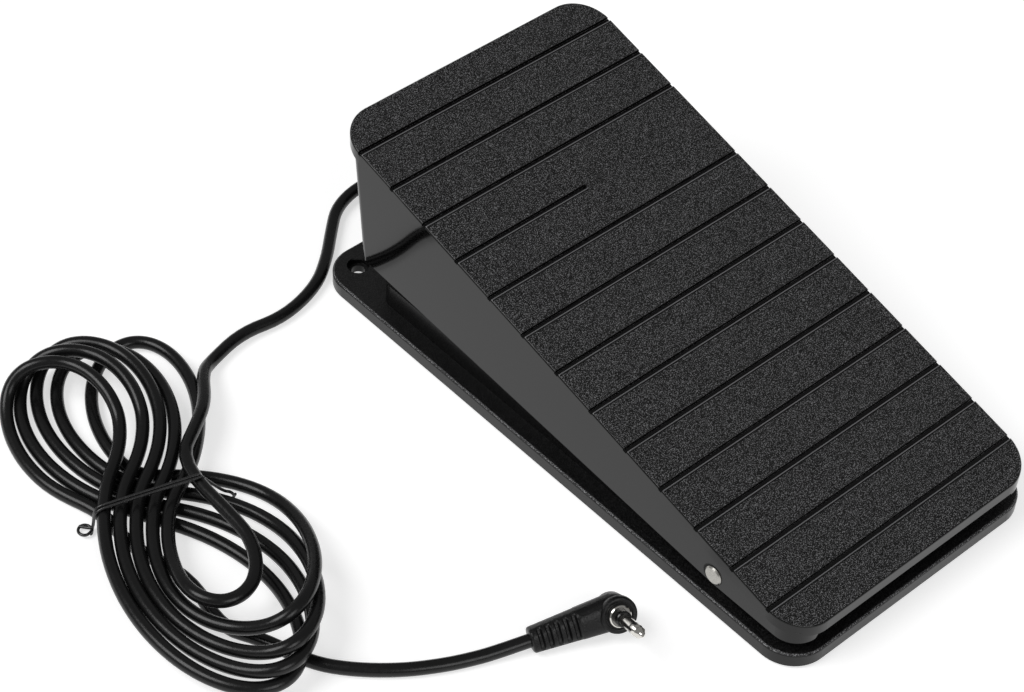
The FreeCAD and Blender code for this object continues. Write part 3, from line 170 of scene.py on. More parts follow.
# Hank: a row per turn holds the loop's tip, X and Y, and its half width
WAIST = (-148.6, 61.0)
LOW_TIPS = [
    (-144.8, 14.5, 13.4), (-136.6, 1.3, 23.1), (-144.2, -7.8, 21.3), (-151.3, -12.9, 19.7),
    (-158.9, -16.5, 18.1),
]
TOP_TIPS = [
    (-112.1, 111.1, 13.3), (-124.0, 117.1, 15.8), (-127.3, 122.5, 18.3), (-134.1, 122.7, 19.6),
    (-142.4, 121.8, 19.1),
]
LOW_TIP_TURN = 0.25
TOP_TIP_TURN = 0.75
HANK_START = 0.14
HANK_END = 4.93
HANK_STEPS = 32
HANK_BLUNT = 0.79
HANK_WIDEST = 0.64
HANK_LAST = [
    (-157.8, 63.8), (-159.7, 49.7), (-153.3, 30.1), (-157.9, 10.7), (-151.6, 0.5),
    (-146.6, -14.6), (-139.0, -24.0),
]

# Hank's waist, where the strands of the turns lie side by side
HANK_LANE = 4.87
HANK_LANE_DOWN = (-0.46, -0.89)
HANK_LANE_UP = (-0.57, 0.82)
HANK_LANE_FADE = 0.7

# Hank's heights: a pile's height per turn, and where along a turn it begins, over what share
LOW_PILE = [5.0, 9.9, 8.1, 4.4, 0.0]
TOP_PILE = [0.7, 4.5, 8.1, 10.2, 11.2]
HANK_LIFT = 4.58
HANK_LEAN = 0.7
HANK_LEAN_FROM = 5.0
CROSSING_SLOPE = 0.9
LOBE_FROM = 0.25
LOBE_OVER = 0.45
LOW_LIFT_FROM = 0.92
LOW_LIFT_OVER = 0.36
LOW_PILE_FROM = 0.90
LOW_PILE_OVER = 0.80
LOW_FALL_OVER = 0.7
TOP_FALL_FROM = 0.2
TOP_FALL_OVER = 0.9

# Tie: it rounds the outermost strands at shares of its clearance, outwards and up
TIE_R = 0.45
TIE_GAP = 0.15
TIE_LOFT = 0.25
TIE_OFF_FLOOR = 0.1
TIE_FROM = (-172.0, 67.0)
TIE_TO = (-124.0, 45.5)
LEFT_SHOULDER = (0.72, 0.78)
RIGHT_SHOULDER = (0.85, 0.75)
SECOND_SHOULDER = (0.6, 0.85)

# Curl at the tie's left end: middle, radii, first angle and step in degrees, rise per step
CURL_AT = (-3.2, -0.6)
CURL_R = (2.1, 2.3)
CURL_FIRST = -60
CURL_STEP = 50
CURL_COUNT = 9
CURL_RISE = 0.12

# Plug
PLUG_AIM = Vector((-0.304, -0.804, 0.510)).normalized()
PLUG_HEAD_R = 5.2
PLUG_HEAD_LONG = 9.0
PLUG_AT = (-74.25, -56.58)
PLUG_SMOOTH = math.radians(35)

# Plug's strain relief: half sizes at its ends, grooves, and the plain panel next to the head
RELIEF_FROM = Vector((-97.0, -47.6, 3.5))
RELIEF_START_SIDE = 3.5
RELIEF_END_SIDE = 5.0
RELIEF_START_FRONT = 3.3
RELIEF_END_FRONT = 4.1
RELIEF_SQUARE = 3.0
RELIEF_FACE_FROM = 0.42
RELIEF_FACE_OVER = 0.28
RELIEF_GROOVES = 5
RELIEF_FIRST = 2.7
RELIEF_STEP = 2.55
RELIEF_GROOVE = 1.35
RELIEF_GROOVE_FLAT = RELIEF_GROOVE / 4
RELIEF_GROOVE_SLOPE = RELIEF_GROOVE / 3
RELIEF_DEEP = 1.1
RELIEF_PANEL = 0.25
RELIEF_PANEL_FROM = 13.9
RELIEF_PANEL_SLOPE = 0.4
RELIEF_ROUND = 0.8
RELIEF_FINE = 0.12
RELIEF_ROUND_COUNT = 72

# Plug's head outline: distance along the pin's aim from the head's middle, and radius
HEAD_OUTLINE = [
    (-4.5, 3.3), (-4.35, 3.9), (-4.0, 4.3), (-3.4, 4.55), (-1.0, 4.8), (1.6, 5.05),
    (1.9, 4.95), (2.05, 5.0), (2.15, 5.25), (2.4, 5.35), (3.9, 5.35), (4.25, 5.25),
    (4.45, 5.0), (4.5, 4.75), (4.5, 4.05), (4.42, 3.9), (4.2, 3.8), (4.2, 3.5),
    (4.42, 3.4), (4.5, 3.3), (4.5, 3.0), (4.4, 2.9), (4.0, 2.85), (4.0, 2.0),
]
HEAD_ROUND_COUNT = 96


# Materials


class Finish:
    """A material, with short calls for the nodes that its looks are made of."""

    def __init__(self, name):
        self.mat = bpy.data.materials.new(name)
        self.mat.use_nodes = True
        self.nodes = self.mat.node_tree.nodes
        self.links = self.mat.node_tree.links
        self.shader = self.nodes["Principled BSDF"]

    def feed(self, socket, value):
        """Give a socket a number, a colour or another node's output."""
        if isinstance(value, bpy.types.NodeSocket):
            self.links.new(value, socket)
        else:
            socket.default_value = value

    def set(self, name, value):
        self.feed(self.shader.inputs[name], value)

    def math(self, kind, *values):
        node = self.nodes.new("ShaderNodeMath")
        node.operation = kind
        for socket, value in zip(node.inputs, values):
            self.feed(socket, value)
        return node.outputs[0]

    def mapped(self, value, source, target=(0.0, 1.0)):
        """Value taken from one range to another, held at the ends."""
        node = self.nodes.new("ShaderNodeMapRange")
        node.clamp = True
        for socket, given in zip(node.inputs, (value, *source, *target)):
            self.feed(socket, given)
        return node.outputs[0]

    def noise(self, place, size_mm, detail):
        node = self.nodes.new("ShaderNodeTexNoise")
        node.inputs["Scale"].default_value = 1.0 / (size_mm * MM)
        node.inputs["Detail"].default_value = detail
        self.links.new(place, node.inputs["Vector"])
        return node.outputs["Fac"]

    def between(self, share, low, high):
        """Colour between two, each red, green and blue or another node's output."""
        node = self.nodes.new("ShaderNodeMix")
        node.data_type = "RGBA"
        self.feed(node.inputs["Factor"], share)
        for name, colour in (("A", low), ("B", high)):
            self.feed(node.inputs[name], (*colour, 1) if isinstance(colour, tuple) else colour)
        return node.outputs["Result"]

    def bump(self, height, strength, depth):
        node = self.nodes.new("ShaderNodeBump")
        node.inputs["Strength"].default_value = strength
        node.inputs["Distance"].default_value = depth * MM
        self.links.new(height, node.inputs["Height"])
        self.set("Normal", node.outputs[0])

    def place(self):
        return self.nodes.new("ShaderNodeTexCoord").outputs["Object"]

    def parts(self, vector):
        node = self.nodes.new("ShaderNodeSeparateXYZ")
        self.links.new(vector, node.inputs[0])
        return node.outputs

    def upward(self):
        """Upward part of the face's own normal."""
        geometry = self.nodes.new("ShaderNodeNewGeometry")
        return self.parts(geometry.outputs["True Normal"])["Z"]


def grey(v):
    return (v, v, v * COOL_TINT)


def shaded(colour, factor):
    return tuple(min(1.0, v * factor) for v in colour)


def land_outside_groove_shade(finish, at):
    """1 on the lands between the treadle's grooves, 0 in a groove and in a margin before its near
    edge, which get painted shade, and the place across it.
    """
    half = GROOVE_WIDE / 2
    along = finish.math("SUBTRACT", at["Y"], TREAD_NEAR_Y * MM)
    along = finish.math("DIVIDE", along, math.cos(TREAD_PITCH) * MM)

    # each groove lies in the middle of a step, and the first one in step 1
    count = finish.math("SUBTRACT", along, GROOVE_FIRST - GROOVE_STEP * 1.5)
    across = finish.math("MODULO", count, GROOVE_STEP)
    across = finish.math("SUBTRACT", across, GROOVE_STEP / 2)
    # painted shade: dark in the groove and in a margin before its near edge
    margin = -half - GROOVE_SHADE_MARGIN
    far = finish.mapped(across, (half, half + GROOVE_SHADE_FAR_EDGE))
    near = finish.mapped(across, (margin, margin + GROOVE_SHADE_NEAR_EDGE), (1.0, 0.0))
    unshaded_land = finish.math("MAXIMUM", far, near)

    # the short groove ends at the treadle's middle, so the land goes on to its right
    number = finish.math("FLOOR", finish.math("DIVIDE", count, GROOVE_STEP))
    short = finish.math("COMPARE", number, SHORT_GROOVE + 1.0, SAME_WITHIN)
    right = finish.math("GREATER_THAN", at["X"], half * MM)
    unshaded_land = finish.math("MAXIMUM", unshaded_land, finish.math("MULTIPLY", short, right))
    return unshaded_land, across


def treadle_plastic():
    """Grained top with light flecks that are partly painted glint, dark smooth grooves with painted
    shade, a painted highlight line along each groove, glossy walls, and a painted shade ring round
    the pin.
    """
    finish = Finish("treadle_plastic")
    place = finish.place()
    at = finish.parts(place)
    top = finish.mapped(finish.upward(), TREAD_TOP)
    unshaded_land, across = land_outside_groove_shade(finish, at)
    grained_unshaded = finish.math("MULTIPLY", top, unshaded_land)

    fine = finish.noise(place, TREAD_FINE, detail=0.0)
    coarse = finish.noise(place, TREAD_COARSE, detail=2.0)
    fine = finish.math("MULTIPLY", fine, 1 - TREAD_COARSE_SHARE)
    coarse = finish.math("MULTIPLY", coarse, TREAD_COARSE_SHARE)
    grain = finish.math("ADD", fine, coarse)
    # grain flecks: real grain, lightened partly as painted glint off the top's texture
    grain_and_highlight = finish.math("MULTIPLY", finish.mapped(grain, TREAD_FLECKS), grained_unshaded)

    # painted highlight: thin light line where each groove's near wall meets the top
    off = finish.math("ADD", across, GROOVE_WIDE / 2 + HIGHLIGHT_LINE_OFFSET)
    line = finish.mapped(finish.math("ABSOLUTE", off), HIGHLIGHT_LINE_EDGE, (1.0, 0.0))
    line = finish.math("MULTIPLY", line, finish.math("SUBTRACT", top, grained_unshaded))
    grain_and_highlight = finish.math("MAXIMUM", grain_and_highlight, finish.math("MULTIPLY", line, HIGHLIGHT_LINE_TONE))
    colour = finish.between(grain_and_highlight, grey(TREAD_DARK), grey(TREAD_GRAIN_AND_GLINT))

    # painted shade: the dark ring where the wall meets the pin
    from_y = finish.math("SUBTRACT", at["Y"], (PIN_Y + SHADE_RING_SHIFT_Y) * MM)
    from_z = finish.math("SUBTRACT", at["Z"], (PIN_Z + SHADE_RING_SHIFT_Z) * MM)
    from_y = finish.math("POWER", from_y, 2.0)
    from_z = finish.math("POWER", from_z, 2.0)
    from_pin = finish.math("SQRT", finish.math("ADD", from_y, from_z))
    edge = ((PIN_R + SHADE_RING_INSIDE) * MM, (PIN_R + SHADE_RING_OUTSIDE) * MM)
    clear = finish.mapped(from_pin, edge)
    finish.set("Base Color", finish.between(clear, (0, 0, 0), colour))

    rough = finish.mapped(grained_unshaded, (0.0, 1.0), TREAD_ROUGH)
    shade_ring_rough = finish.mapped(clear, (0.0, 1.0), (SHADE_RING_ROUGH, 0.0))
    finish.set("Roughness", finish.math("ADD", rough, shade_ring_rough))
    finish.set("Specular IOR Level", PLASTIC_GLOSS)
    finish.bump(finish.math("MULTIPLY", grain, grained_unshaded), TREAD_BUMP, TREAD_DEPTH)
    return finish.mat


def base_plastic():
    """Satin sides, dark glossy top, and grain along its rounded edge lightened as a painted
    highlight.
    """
    finish = Finish("base_plastic")
    upward = finish.upward()
    top = finish.mapped(upward, BASE_TOP)
    # painted highlight: the rounded edge between the top and the sides gets the full light flecks,
    # the level top only a small share
    edge = finish.math("MULTIPLY", top, finish.mapped(upward, BASE_LEVEL, (1.0, 0.0)))
    grain = finish.noise(finish.place(), BASE_GRAIN, detail=1.0)
    share = finish.mapped(edge, (0.0, 1.0), (BASE_LEVEL_SHARE, 1.0))
    grain_and_highlight = finish.math("MULTIPLY", finish.mapped(grain, BASE_FLECKS), share)
    grain_and_highlight = finish.math("MULTIPLY", grain_and_highlight, top)
    finish.set("Base Color", finish.between(grain_and_highlight, grey(BASE_DARK), grey(BASE_GRAIN_AND_HIGHLIGHT)))
    finish.set("Roughness", finish.mapped(top, (0.0, 1.0), BASE_ROUGH))
    finish.set("Specular IOR Level", PLASTIC_GLOSS)
    finish.bump(finish.math("MULTIPLY", grain, top), BASE_BUMP, BASE_DEPTH)
    return finish.mat


def plain(name, colour, rough, grain_mm, depth, spread=0.25, gloss=0.5):
    """Surface with slightly uneven colour, roughness and relief."""
    finish = Finish(name)
    place = finish.place()
    fine = finish.noise(place, grain_mm, detail=3.0)
    broad = finish.noise(place, grain_mm * PLAIN_BROAD, detail=2.0)
    dark = shaded(colour, 1 - spread)
    light = shaded(colour, 1 + spread)
    finish.set("Base Color", finish.between(broad, dark, light))
    rough_span = [rough * factor for factor in PLAIN_ROUGH_SPAN]
    finish.set("Roughness", finish.mapped(fine, NOISE_SPAN, rough_span))
    finish.set("Specular IOR Level", gloss)
    finish.bump(fine, PLAIN_BUMP, depth)
    return finish.mat


def turned_metal(name, colour, rough):
    """Metal with fine marks from turning and a little tarnish."""
    finish = Finish(name)
    place = finish.place()
    stretch = finish.nodes.new("ShaderNodeMapping")
    stretch.inputs["Scale"].default_value = METAL_STRETCH
    finish.links.new(place, stretch.inputs["Vector"])
    marks = finish.noise(stretch.outputs["Vector"], METAL_MARK, detail=4.0)
    stain = finish.noise(place, METAL_STAIN, detail=3.0)
    finish.set("Base Color", finish.between(stain, shaded(colour, METAL_DULL), colour))
    rough_span = [rough * factor for factor in METAL_ROUGH_SPAN]
    finish.set("Roughness", finish.mapped(marks, NOISE_SPAN, rough_span))
    finish.set("Metallic", 1.0)
    finish.bump(marks, METAL_BUMP, METAL_DEPTH)
    return finish.mat


def make_materials():
    """Plain ones give colour, roughness, grain size and depth; metals colour and roughness."""
    return {
        "treadle": treadle_plastic(),
        "base": base_plastic(),
        "rubber": plain("pad_rubber", grey(0.010), 0.7, 0.7, 0.08, gloss=0.3),
        "bush": plain("bush_plastic", (0.72, 0.7, 0.64), 0.4, 0.8, 0.03, spread=0.06),
        "pin": turned_metal("pin_steel", (0.46, 0.45, 0.42), 0.3),
        "spring": turned_metal("spring_steel", (0.5, 0.5, 0.5), 0.3),
        "switch": plain("switch_plastic", grey(0.02), 0.4, 0.6, 0.05),
        "plunger": plain("plunger_plastic", (0.45, 0.03, 0.025), 0.35, 0.6, 0.03, spread=0.1),
        "lever": turned_metal("lever_steel", (0.6, 0.6, 0.58), 0.25),
        "brass": turned_metal("terminal_brass", (0.7, 0.62, 0.42), 0.3),
        "screw": turned_metal("screw_steel", (0.52, 0.52, 0.53), 0.3),
        "cord": plain("cord_jacket", grey(0.005), 0.26, 1.2, 0.04, spread=0.4, gloss=0.3),
        "wire": plain("wire_jacket", (0.4, 0.02, 0.018), 0.35, 0.8, 0.03, spread=0.1),
        "tie": plain("tie_jacket", grey(0.008), 0.25, 0.5, 0.03, gloss=0.6),
        "plug": plain("plug_rubber", grey(0.004), 0.32, 0.45, 0.35, spread=0.6, gloss=0.28),
        "nickel": turned_metal("plug_nickel", (0.72, 0.70, 0.66), 0.1),
        "barrel": turned_metal("plug_barrel_metal", (0.05, 0.05, 0.05), 0.2),
        "ring": plain("plug_ring", grey(0.008), 0.3, 0.5, 0.02),
    }


# Nodes that keep their solids, and the material of each
NODE_FINISH = {
    "pedal_cover": "treadle",
    "base_tray": "base",
    "rubber_feet": "rubber",
    "rest_stops": "rubber",
    "bump_stops": "rubber",
    "pivot_bushes": "bush",
    "pivot_pin": "pin",
    "switch_case": "switch",
    "switch_cover": "switch",
    "switch_plunger": "plunger",
    "switch_lever": "lever",
    "switch_terminals": "brass",
    "switch_screws": "screw",
    "clamp_screws": "screw",
    "cord_gland": "rubber",
    "cord_inner": "cord",
    "cord_clamp": "base",
    "signal_wires": "wire",
    "plug_collar": "nickel",
    "plug_barrel": "barrel",
    "plug_sleeve": "nickel",
    "plug_insulator": "ring",
    "plug_tip": "nickel",
}


def dress_nodes(mats):
    for node, finish in NODE_FINISH.items():
        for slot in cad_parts[node].material_slots:
            slot.material = mats[finish]


# Curves


def add_spline(data, points):
    spline = data.splines.new("NURBS")
    spline.points.add(len(points) - 1)
    for spot, p in zip(spline.points, points):
        spot.co = (p[0] * MM, p[1] * MM, p[2] * MM, 1.0)
    spline.order_u = 3
    spline.use_endpoint_u = True


def curve_through(name, points, radius, mat):
    """Round cord or wire whose middle is one smooth open spline."""
    data = bpy.data.curves.new(name, "CURVE")
    data.dimensions = "3D"
    data.resolution_u = CURVE_STEPS
    data.bevel_depth = radius * MM
    data.bevel_resolution = CURVE_ROUND
    data.use_fill_caps = True
    add_spline(data, points)
    obj = bpy.data.objects.new(name, data)
    bpy.context.scene.collection.objects.link(obj)
    data.materials.append(mat)
    return obj


# Cord


def ease(t):
    t = min(1.0, max(0.0, t))
    return t * t * (3 - 2 * t)


def blend_rows(rows, at):
    """Values between two rows, eased, for a turn between two turns."""
    at = min(max(at, 0.0), len(rows) - 1.0)
    k = min(int(at), len(rows) - 2)
    t = ease(at - k)
    return [p * (1 - t) + q * t for p, q in zip(rows[k], rows[k + 1])]


def pile_height(piles, at):
    return blend_rows([(height,) for height in piles], at)[0]


def hank_height(low, turn, sine, cosine):
    """Height of the cord's middle: strands going down lie under those going up, loops pile."""
    crossing = HANK_LIFT * ease(0.5 - CROSSING_SLOPE * cosine)
    away = ease((sine - LOBE_FROM) / LOBE_OVER)
    if low:
        lobe = HANK_LIFT * ease((LOW_LIFT_FROM - cosine) / LOW_LIFT_OVER)
        rise = ease((LOW_PILE_FROM - cosine) / LOW_PILE_OVER)
        fall = 1 - ease(-cosine / LOW_FALL_OVER)
        lobe += pile_height(LOW_PILE, turn - LOW_TIP_TURN) * rise * fall
    else:
        fall = 1 - ease((cosine + TOP_FALL_FROM) / TOP_FALL_OVER)
        lobe = pile_height(TOP_PILE, turn - TOP_TIP_TURN) * fall
    if turn < 0.5:
        # the first strand, which comes down from the lead, lies on the others
        lobe = HANK_LIFT + LOW_PILE[0]
        away = 1.0 if cosine > 0 else away
    return CORD_R + crossing * (1 - away) + lobe * away


def hank_loops():
    """Points of the loops, a lower and an upper one in each turn, from the lead to the tail."""
    out = []
    middle = (HANK_START + HANK_END) / 2
    for i in range(round(HANK_START * HANK_STEPS), round(HANK_END * HANK_STEPS) + 1):
        turn = i / HANK_STEPS
        sine = abs(math.sin(2 * math.pi * turn))
        cosine = math.cos(2 * math.pi * turn)
        low = turn % 1.0 < 0.5
        if low:
            x, y, half = blend_rows(LOW_TIPS, turn - LOW_TIP_TURN)
        else:
            x, y, half = blend_rows(TOP_TIPS, turn - TOP_TIP_TURN)
        reach = math.hypot(x - WAIST[0], y - WAIST[1])
        ux = (x - WAIST[0]) / reach
        uy = (y - WAIST[1]) / reach
        # the loop is widest on its way to the tip, and at the waist each strand keeps to its lane
        wide = half / HANK_WIDEST * (1 + HANK_BLUNT) * sine / (sine + HANK_BLUNT) * cosine
        lane = (turn - middle) * HANK_LANE * (1 - sine) ** HANK_LANE_FADE
        lane_x, lane_y = HANK_LANE_DOWN if cosine > 0 else HANK_LANE_UP
        z = hank_height(low, turn, sine, cosine)
        lean = HANK_LEAN * (z - HANK_LEAN_FROM)
        px = WAIST[0] + reach * sine * ux - wide * uy + lane * lane_x - lean
        py = WAIST[1] + reach * sine * uy + wide * ux + lane * lane_y - lean
        out.append((px, py, z))
    return out


def cord_spline():
    """From the gland through the hank to the plug's strain relief, which it enters straight."""
    along = (plug_centre() - RELIEF_FROM).normalized()
    points = [GLAND_OUT] + LEAD_ROUTE + hank_loops()
    points += [(x, y, CORD_R) for x, y in HANK_LAST] + TAIL_ROUTE
    points += [tuple(RELIEF_FROM - along * TAIL_END), tuple(RELIEF_FROM)]
    return points


def make_cord(mats):
    cord = curve_through("long_cord", cord_spline(), CORD_R, mats["cord"])
    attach(cord, "base")
    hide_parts("cord_lead", "cord_hank", "cord_tail")
    return cord


# Return spring


def spring_points():
    """Coil with its end turns wound close."""
    closed_rise = SPRING_CLOSED * SPRING_END_RISE
    open_turns = SPRING_TURNS - 2 * SPRING_CLOSED
    pitch = (SPRING_HIGH - SPRING_LOW - 2 * closed_rise) / open_turns
    # the spline runs inside its points, so they stand out a little
    r = SPRING_R / ((1 + math.cos(math.pi / SPRING_STEPS)) / 2)
    out = []
    for i in range(SPRING_TURNS * SPRING_STEPS + 1):
        turn = i / SPRING_STEPS
        z = SPRING_LOW + SPRING_END_RISE * min(turn, SPRING_CLOSED)
        z += pitch * min(max(turn - SPRING_CLOSED, 0.0), open_turns)
        z += SPRING_END_RISE * max(turn - SPRING_CLOSED - open_turns, 0.0)
        a = 2 * math.pi * turn
        out.append((SPRING_AT[0] + r * math.cos(a), SPRING_AT[1] + r * math.sin(a), z))
    return out


def make_spring(mats):
    """Coil built from a spline and made into a mesh, in place of the CAD spring."""
    curve = curve_through("coil_curve", spring_points(), SPRING_WIRE_R, mats["spring"])
    mesh = bpy.data.meshes.new_from_object(curve)
    bpy.data.objects.remove(curve)
    coil = bpy.data.objects.new("coil_spring", mesh)
    bpy.context.scene.collection.objects.link(coil)
    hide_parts("return_spring")
    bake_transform(coil)


# Tie


def line_points(curve_object):
    """Points along a curve's own middle line, in millimetres."""
    data = curve_object.data.copy()
    data.bevel_depth = 0.0
    bare = bpy.data.objects.new("bare_line", data)
    mesh = bpy.data.meshes.new_from_object(bare)
    points = [v.co / MM for v in mesh.vertices]
    bpy.data.objects.remove(bare)
    bpy.data.curves.remove(data)
    bpy.data.meshes.remove(mesh)
    return points


def strands_under(points, start, along, reach, clear):
    """Where the cord's strands cross below the tie: distance along the tie and height."""
    across = Vector((-along.y, along.x, 0))
    spots = []
    for a, b in zip(points, points[1:]):
        a_off = (a - start).dot(across)
        b_off = (b - start).dot(across)
        if a_off * b_off <= 0 and a_off != b_off:
            p = a + (b - a) * (a_off / (a_off - b_off))
            s = (p - start).dot(along)
            # a strand that crosses at a slant takes more room along the tie
            wider = clear * ((b - a).length / abs(b_off - a_off) - 1)
            if 0 < s < reach:
                spots += [(s - wider, p.z), (s + wider, p.z)]
    return spots


def upper_hull(spots):
    """Upper side of the convex outline round (along, height) spots, from left to right."""
    chain = []
    for p in sorted(spots):
        while len(chain) > 1:
            a, b = chain[-2:]
            if (b[0] - a[0]) * (p[1] - a[1]) - (b[1] - a[1]) * (p[0] - a[0]) >= 0:
                chain.pop()
            else:
                break
        chain.append(p)
    return chain


def tie_routes(cord):
    """The wire from its curl over the strands to its right end, and the end twisted with it."""
    start = Vector((*TIE_FROM, 0))
    along = Vector((*TIE_TO, 0)) - start
    reach = along.length
    along.normalize()
    across = Vector((-along.y, along.x, 0))
    clear = CORD_R + TIE_R + TIE_GAP
    chain = upper_hull(strands_under(line_points(cord), start, along, reach, clear))

    def at(s, side, z):
        """Point at a distance along the tie, an offset across it and a height."""
        return tuple(start + along * s + across * side + Vector((0, 0, z)))

    def shoulder(s, z, side, shares, outwards):
        """Point where the wire rounds an outermost strand."""
        return at(s + outwards * clear * shares[0], side, z + clear * shares[1])

    first, first_z = chain[0]
    last, last_z = chain[-1]
    floor = TIE_R + TIE_OFF_FLOOR
    left = first - clear
    right = last + clear
    curl = []
    for k in range(CURL_COUNT):
        a = math.radians(CURL_FIRST + CURL_STEP * k)
        s = left + CURL_AT[0] + CURL_R[0] * math.cos(a)
        side = CURL_AT[1] + CURL_R[1] * math.sin(a)
        curl.append(at(s, side, floor + CURL_RISE * k))
    curl.reverse()

    # the ends come down past the outermost strands to the floor, a little off the tie's line
    over = [
        at(left - 0.6, 0.2, 1.6),
        at(left - 0.2, 0, first_z),
        shoulder(first, first_z, 0, LEFT_SHOULDER, -1),
    ]
    over += [at(s, 0, z + clear + TIE_LOFT) for s, z in chain]
    over += [
        shoulder(last, last_z, 0, RIGHT_SHOULDER, 1),
        at(right + 0.6, 0, last_z),
        at(right + 1.1, 0.3, 2.4),
        at(right + 0.3, 0.6, floor),
    ]
    second = [
        at(left - 4.6, 0.9, floor + 0.9),
        at(left - 2.0, -0.6, floor + 1.0),
        at(left - 0.9, -1.1, 1.9),
        at(left - 0.3, -1.2, first_z + 0.6),
        shoulder(first, first_z, -1.2, SECOND_SHOULDER, -1),
    ]
    second += [at(s + 1.0, -1.0, z + clear + TIE_LOFT) for s, z in chain[:2]]
    return [curl + over, second]


def make_tie(cord, mats):
    routes = tie_routes(cord)
    tie = curve_through("wire_tie", routes[0], TIE_R, mats["tie"])
    add_spline(tie.data, routes[1])
    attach(tie, "base")
    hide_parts("cord_tie")


# Plug


def plug_centre():
    """Middle of the head, whose lower edge touches the floor."""
    z = PLUG_HEAD_R * math.sqrt(1 - PLUG_AIM.z ** 2) + PLUG_HEAD_LONG / 2 * PLUG_AIM.z
    return Vector((*PLUG_AT, z))


def rings_to_mesh(bm, rings):
    """Closed skin over rings of points, each with the same count."""
    rows = [[bm.verts.new(p * MM) for p in ring] for ring in rings]
    count = len(rows[0])
    for low, high in zip(rows, rows[1:]):
        for i in range(count):
            j = (i + 1) % count
            bm.faces.new((low[i], low[j], high[j], high[i]))
    bm.faces.new(list(reversed(rows[0])))
    bm.faces.new(rows[-1])


def relief_radius(s, long, angle):
    """Distance from the relief's axis: growing box-like sections, grooved on front and back."""
    t = s / long
    side_half = RELIEF_START_SIDE + (RELIEF_END_SIDE - RELIEF_START_SIDE) * t
    front_half = RELIEF_START_FRONT + (RELIEF_END_FRONT - RELIEF_START_FRONT) * t
    front_share = abs(math.cos(angle) / front_half) ** RELIEF_SQUARE
    side_share = abs(math.sin(angle) / side_half) ** RELIEF_SQUARE
    r = (front_share + side_share) ** (-1 / RELIEF_SQUARE)
    facing = ease((abs(math.cos(angle)) - RELIEF_FACE_FROM) / RELIEF_FACE_OVER)
    groove = 0.0
    for k in range(RELIEF_GROOVES):
        off = abs(s - (RELIEF_FIRST + RELIEF_STEP * k))
        groove = max(groove, 1 - ease((off - RELIEF_GROOVE_FLAT) / RELIEF_GROOVE_SLOPE))
    r -= RELIEF_DEEP * groove * facing
    r += RELIEF_PANEL * facing * ease((s - RELIEF_PANEL_FROM) / RELIEF_PANEL_SLOPE)
    start_round = 1 - min(1.0, s / RELIEF_ROUND)
    return r - RELIEF_ROUND * (1 - math.sqrt(1 - start_round ** 2))


def ring_of(centre, first, second, count, radius_at):
    """Ring of points round a centre, its radius given by the angle."""
    ring = []
    for k in range(count):
        a = 2 * math.pi * k / count
        r = radius_at(a)
        ring.append(centre + first * (r * math.cos(a)) + second * (r * math.sin(a)))
    return ring


def relief_rings():
    along = plug_centre() - RELIEF_FROM
    long = along.length
    along.normalize()
    front = (PLUG_AIM - along * PLUG_AIM.dot(along)).normalized()
    side = along.cross(front)
    rings = []
    steps = round(long / RELIEF_FINE)
    for i in range(steps + 1):
        s = long * i / steps
        centre = RELIEF_FROM + along * s
        rings.append(ring_of(centre, front, side, RELIEF_ROUND_COUNT,
                             lambda a: relief_radius(s, long, a)))
    return rings


def head_rings():
    """The head's outline turned round the pin's aim, from its back to the recess in its face."""
    across = PLUG_AIM.orthogonal().normalized()
    third = PLUG_AIM.cross(across)
    rings = []
    for along, r in HEAD_OUTLINE:
        centre = plug_centre() + PLUG_AIM * along
        rings.append(ring_of(centre, across, third, HEAD_ROUND_COUNT, lambda a: r))
    return rings


def mesh_object(name, bm, mat):
    bmesh.ops.recalc_face_normals(bm, faces=bm.faces)
    mesh = bpy.data.meshes.new(name)
    bm.to_mesh(mesh)
    bm.free()
    mesh.materials.append(mat)
    mesh.set_sharp_from_angle(angle=PLUG_SMOOTH)
    for face in mesh.polygons:
        face.use_smooth = True
    obj = bpy.data.objects.new(name, mesh)
    bpy.context.scene.collection.objects.link(obj)
    return obj


def make_plug(mats):
    bm = bmesh.new()
    rings_to_mesh(bm, relief_rings())
    rings_to_mesh(bm, head_rings())
    body = mesh_object("plug_body", bm, mats["plug"])
    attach(body, "base")
    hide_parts("plug_head", "plug_relief")
    return body


# Stage


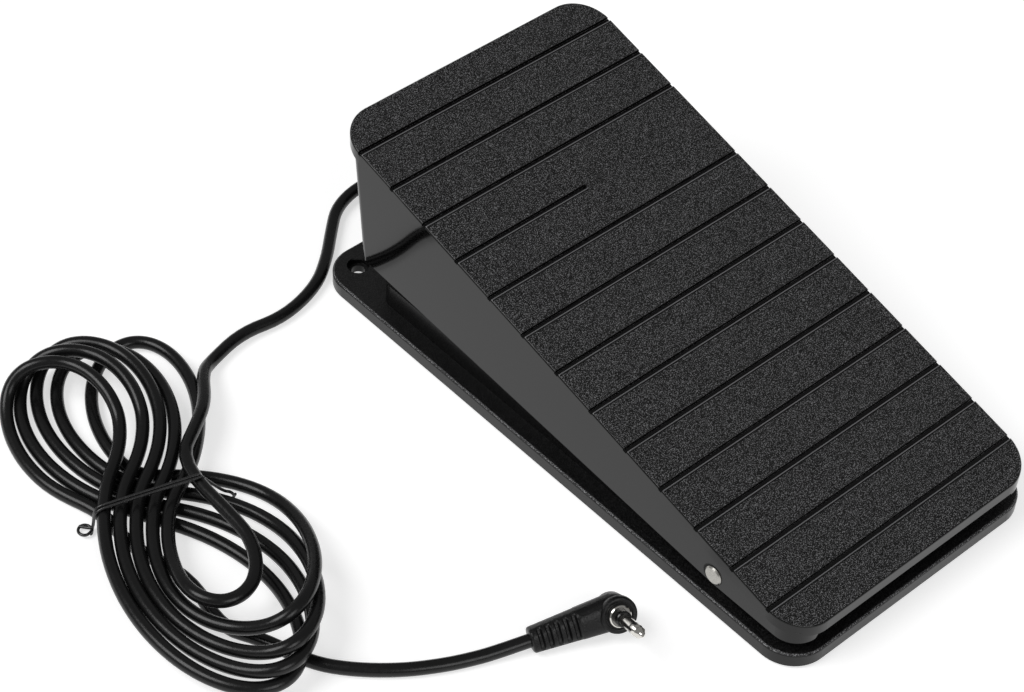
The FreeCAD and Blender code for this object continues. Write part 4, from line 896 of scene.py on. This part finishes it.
def make_camera():
    data = bpy.data.cameras.new("photo_camera")
    data.lens = CAMERA_LENS
    data.sensor_width = CAMERA_SENSOR
    data.clip_start = CLIP_START
    data.clip_end = CLIP_END
    cam = bpy.data.objects.new("photo_camera", data)
    bpy.context.scene.collection.objects.link(cam)
    back = CAMERA_RIGHT.cross(CAMERA_UP)
    turn = Matrix((CAMERA_RIGHT, CAMERA_UP, back)).transposed()
    cam.matrix_world = Matrix.Translation(CAMERA_AT) @ turn.to_4x4()
    bpy.context.scene.camera = cam


def area_light(name, at, size, power, towards):
    data = bpy.data.lights.new(name, "AREA")
    data.shape = "DISK"
    data.size = size
    data.energy = power
    lamp = bpy.data.objects.new(name, data)
    bpy.context.scene.collection.objects.link(lamp)
    lamp.location = at
    lamp.rotation_mode = "QUATERNION"
    lamp.rotation_quaternion = (Vector(at) - Vector(towards)).to_track_quat("Z", "Y")


def make_floor():
    """Pale floor that glows a little, so that it comes out near white."""
    mesh = bpy.data.meshes.new("floor")
    corners = [(x * FLOOR_HALF, y * FLOOR_HALF, 0) for x, y in ((-1, -1), (1, -1), (1, 1), (-1, 1))]
    mesh.from_pydata(corners, [], [(0, 1, 2, 3)])
    floor = bpy.data.objects.new("floor", mesh)
    bpy.context.scene.collection.objects.link(floor)
    finish = Finish("pale_floor")
    finish.set("Base Color", (FLOOR_GREY, FLOOR_GREY, FLOOR_GREY, 1))
    finish.set("Roughness", FLOOR_ROUGH)
    finish.set("Specular IOR Level", FLOOR_GLOSS)
    finish.set("Emission Color", (1, 1, 1, 1))
    finish.set("Emission Strength", FLOOR_GLOW)
    mesh.materials.append(finish.mat)


def make_stage():
    make_floor()
    world = bpy.data.worlds.new("studio")
    bpy.context.scene.world = world
    world.use_nodes = True
    background = world.node_tree.nodes["Background"]
    background.inputs["Color"].default_value = (1, 1, 1, 1)
    background.inputs["Strength"].default_value = WORLD_LIGHT
    for lamp in LAMPS:
        area_light(*lamp)
    bpy.context.scene.view_settings.view_transform = "Standard"


def main():
    make_camera()
    make_stage()
    mats = make_materials()
    dress_nodes(mats)
    cord = make_cord(mats)
    make_tie(cord, mats)
    make_spring(mats)
    pin_nodes = ["plug_collar", "plug_barrel", "plug_sleeve", "plug_insulator", "plug_tip"]
    on_cord = [make_plug(mats)] + [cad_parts[n] for n in pin_nodes]


main()
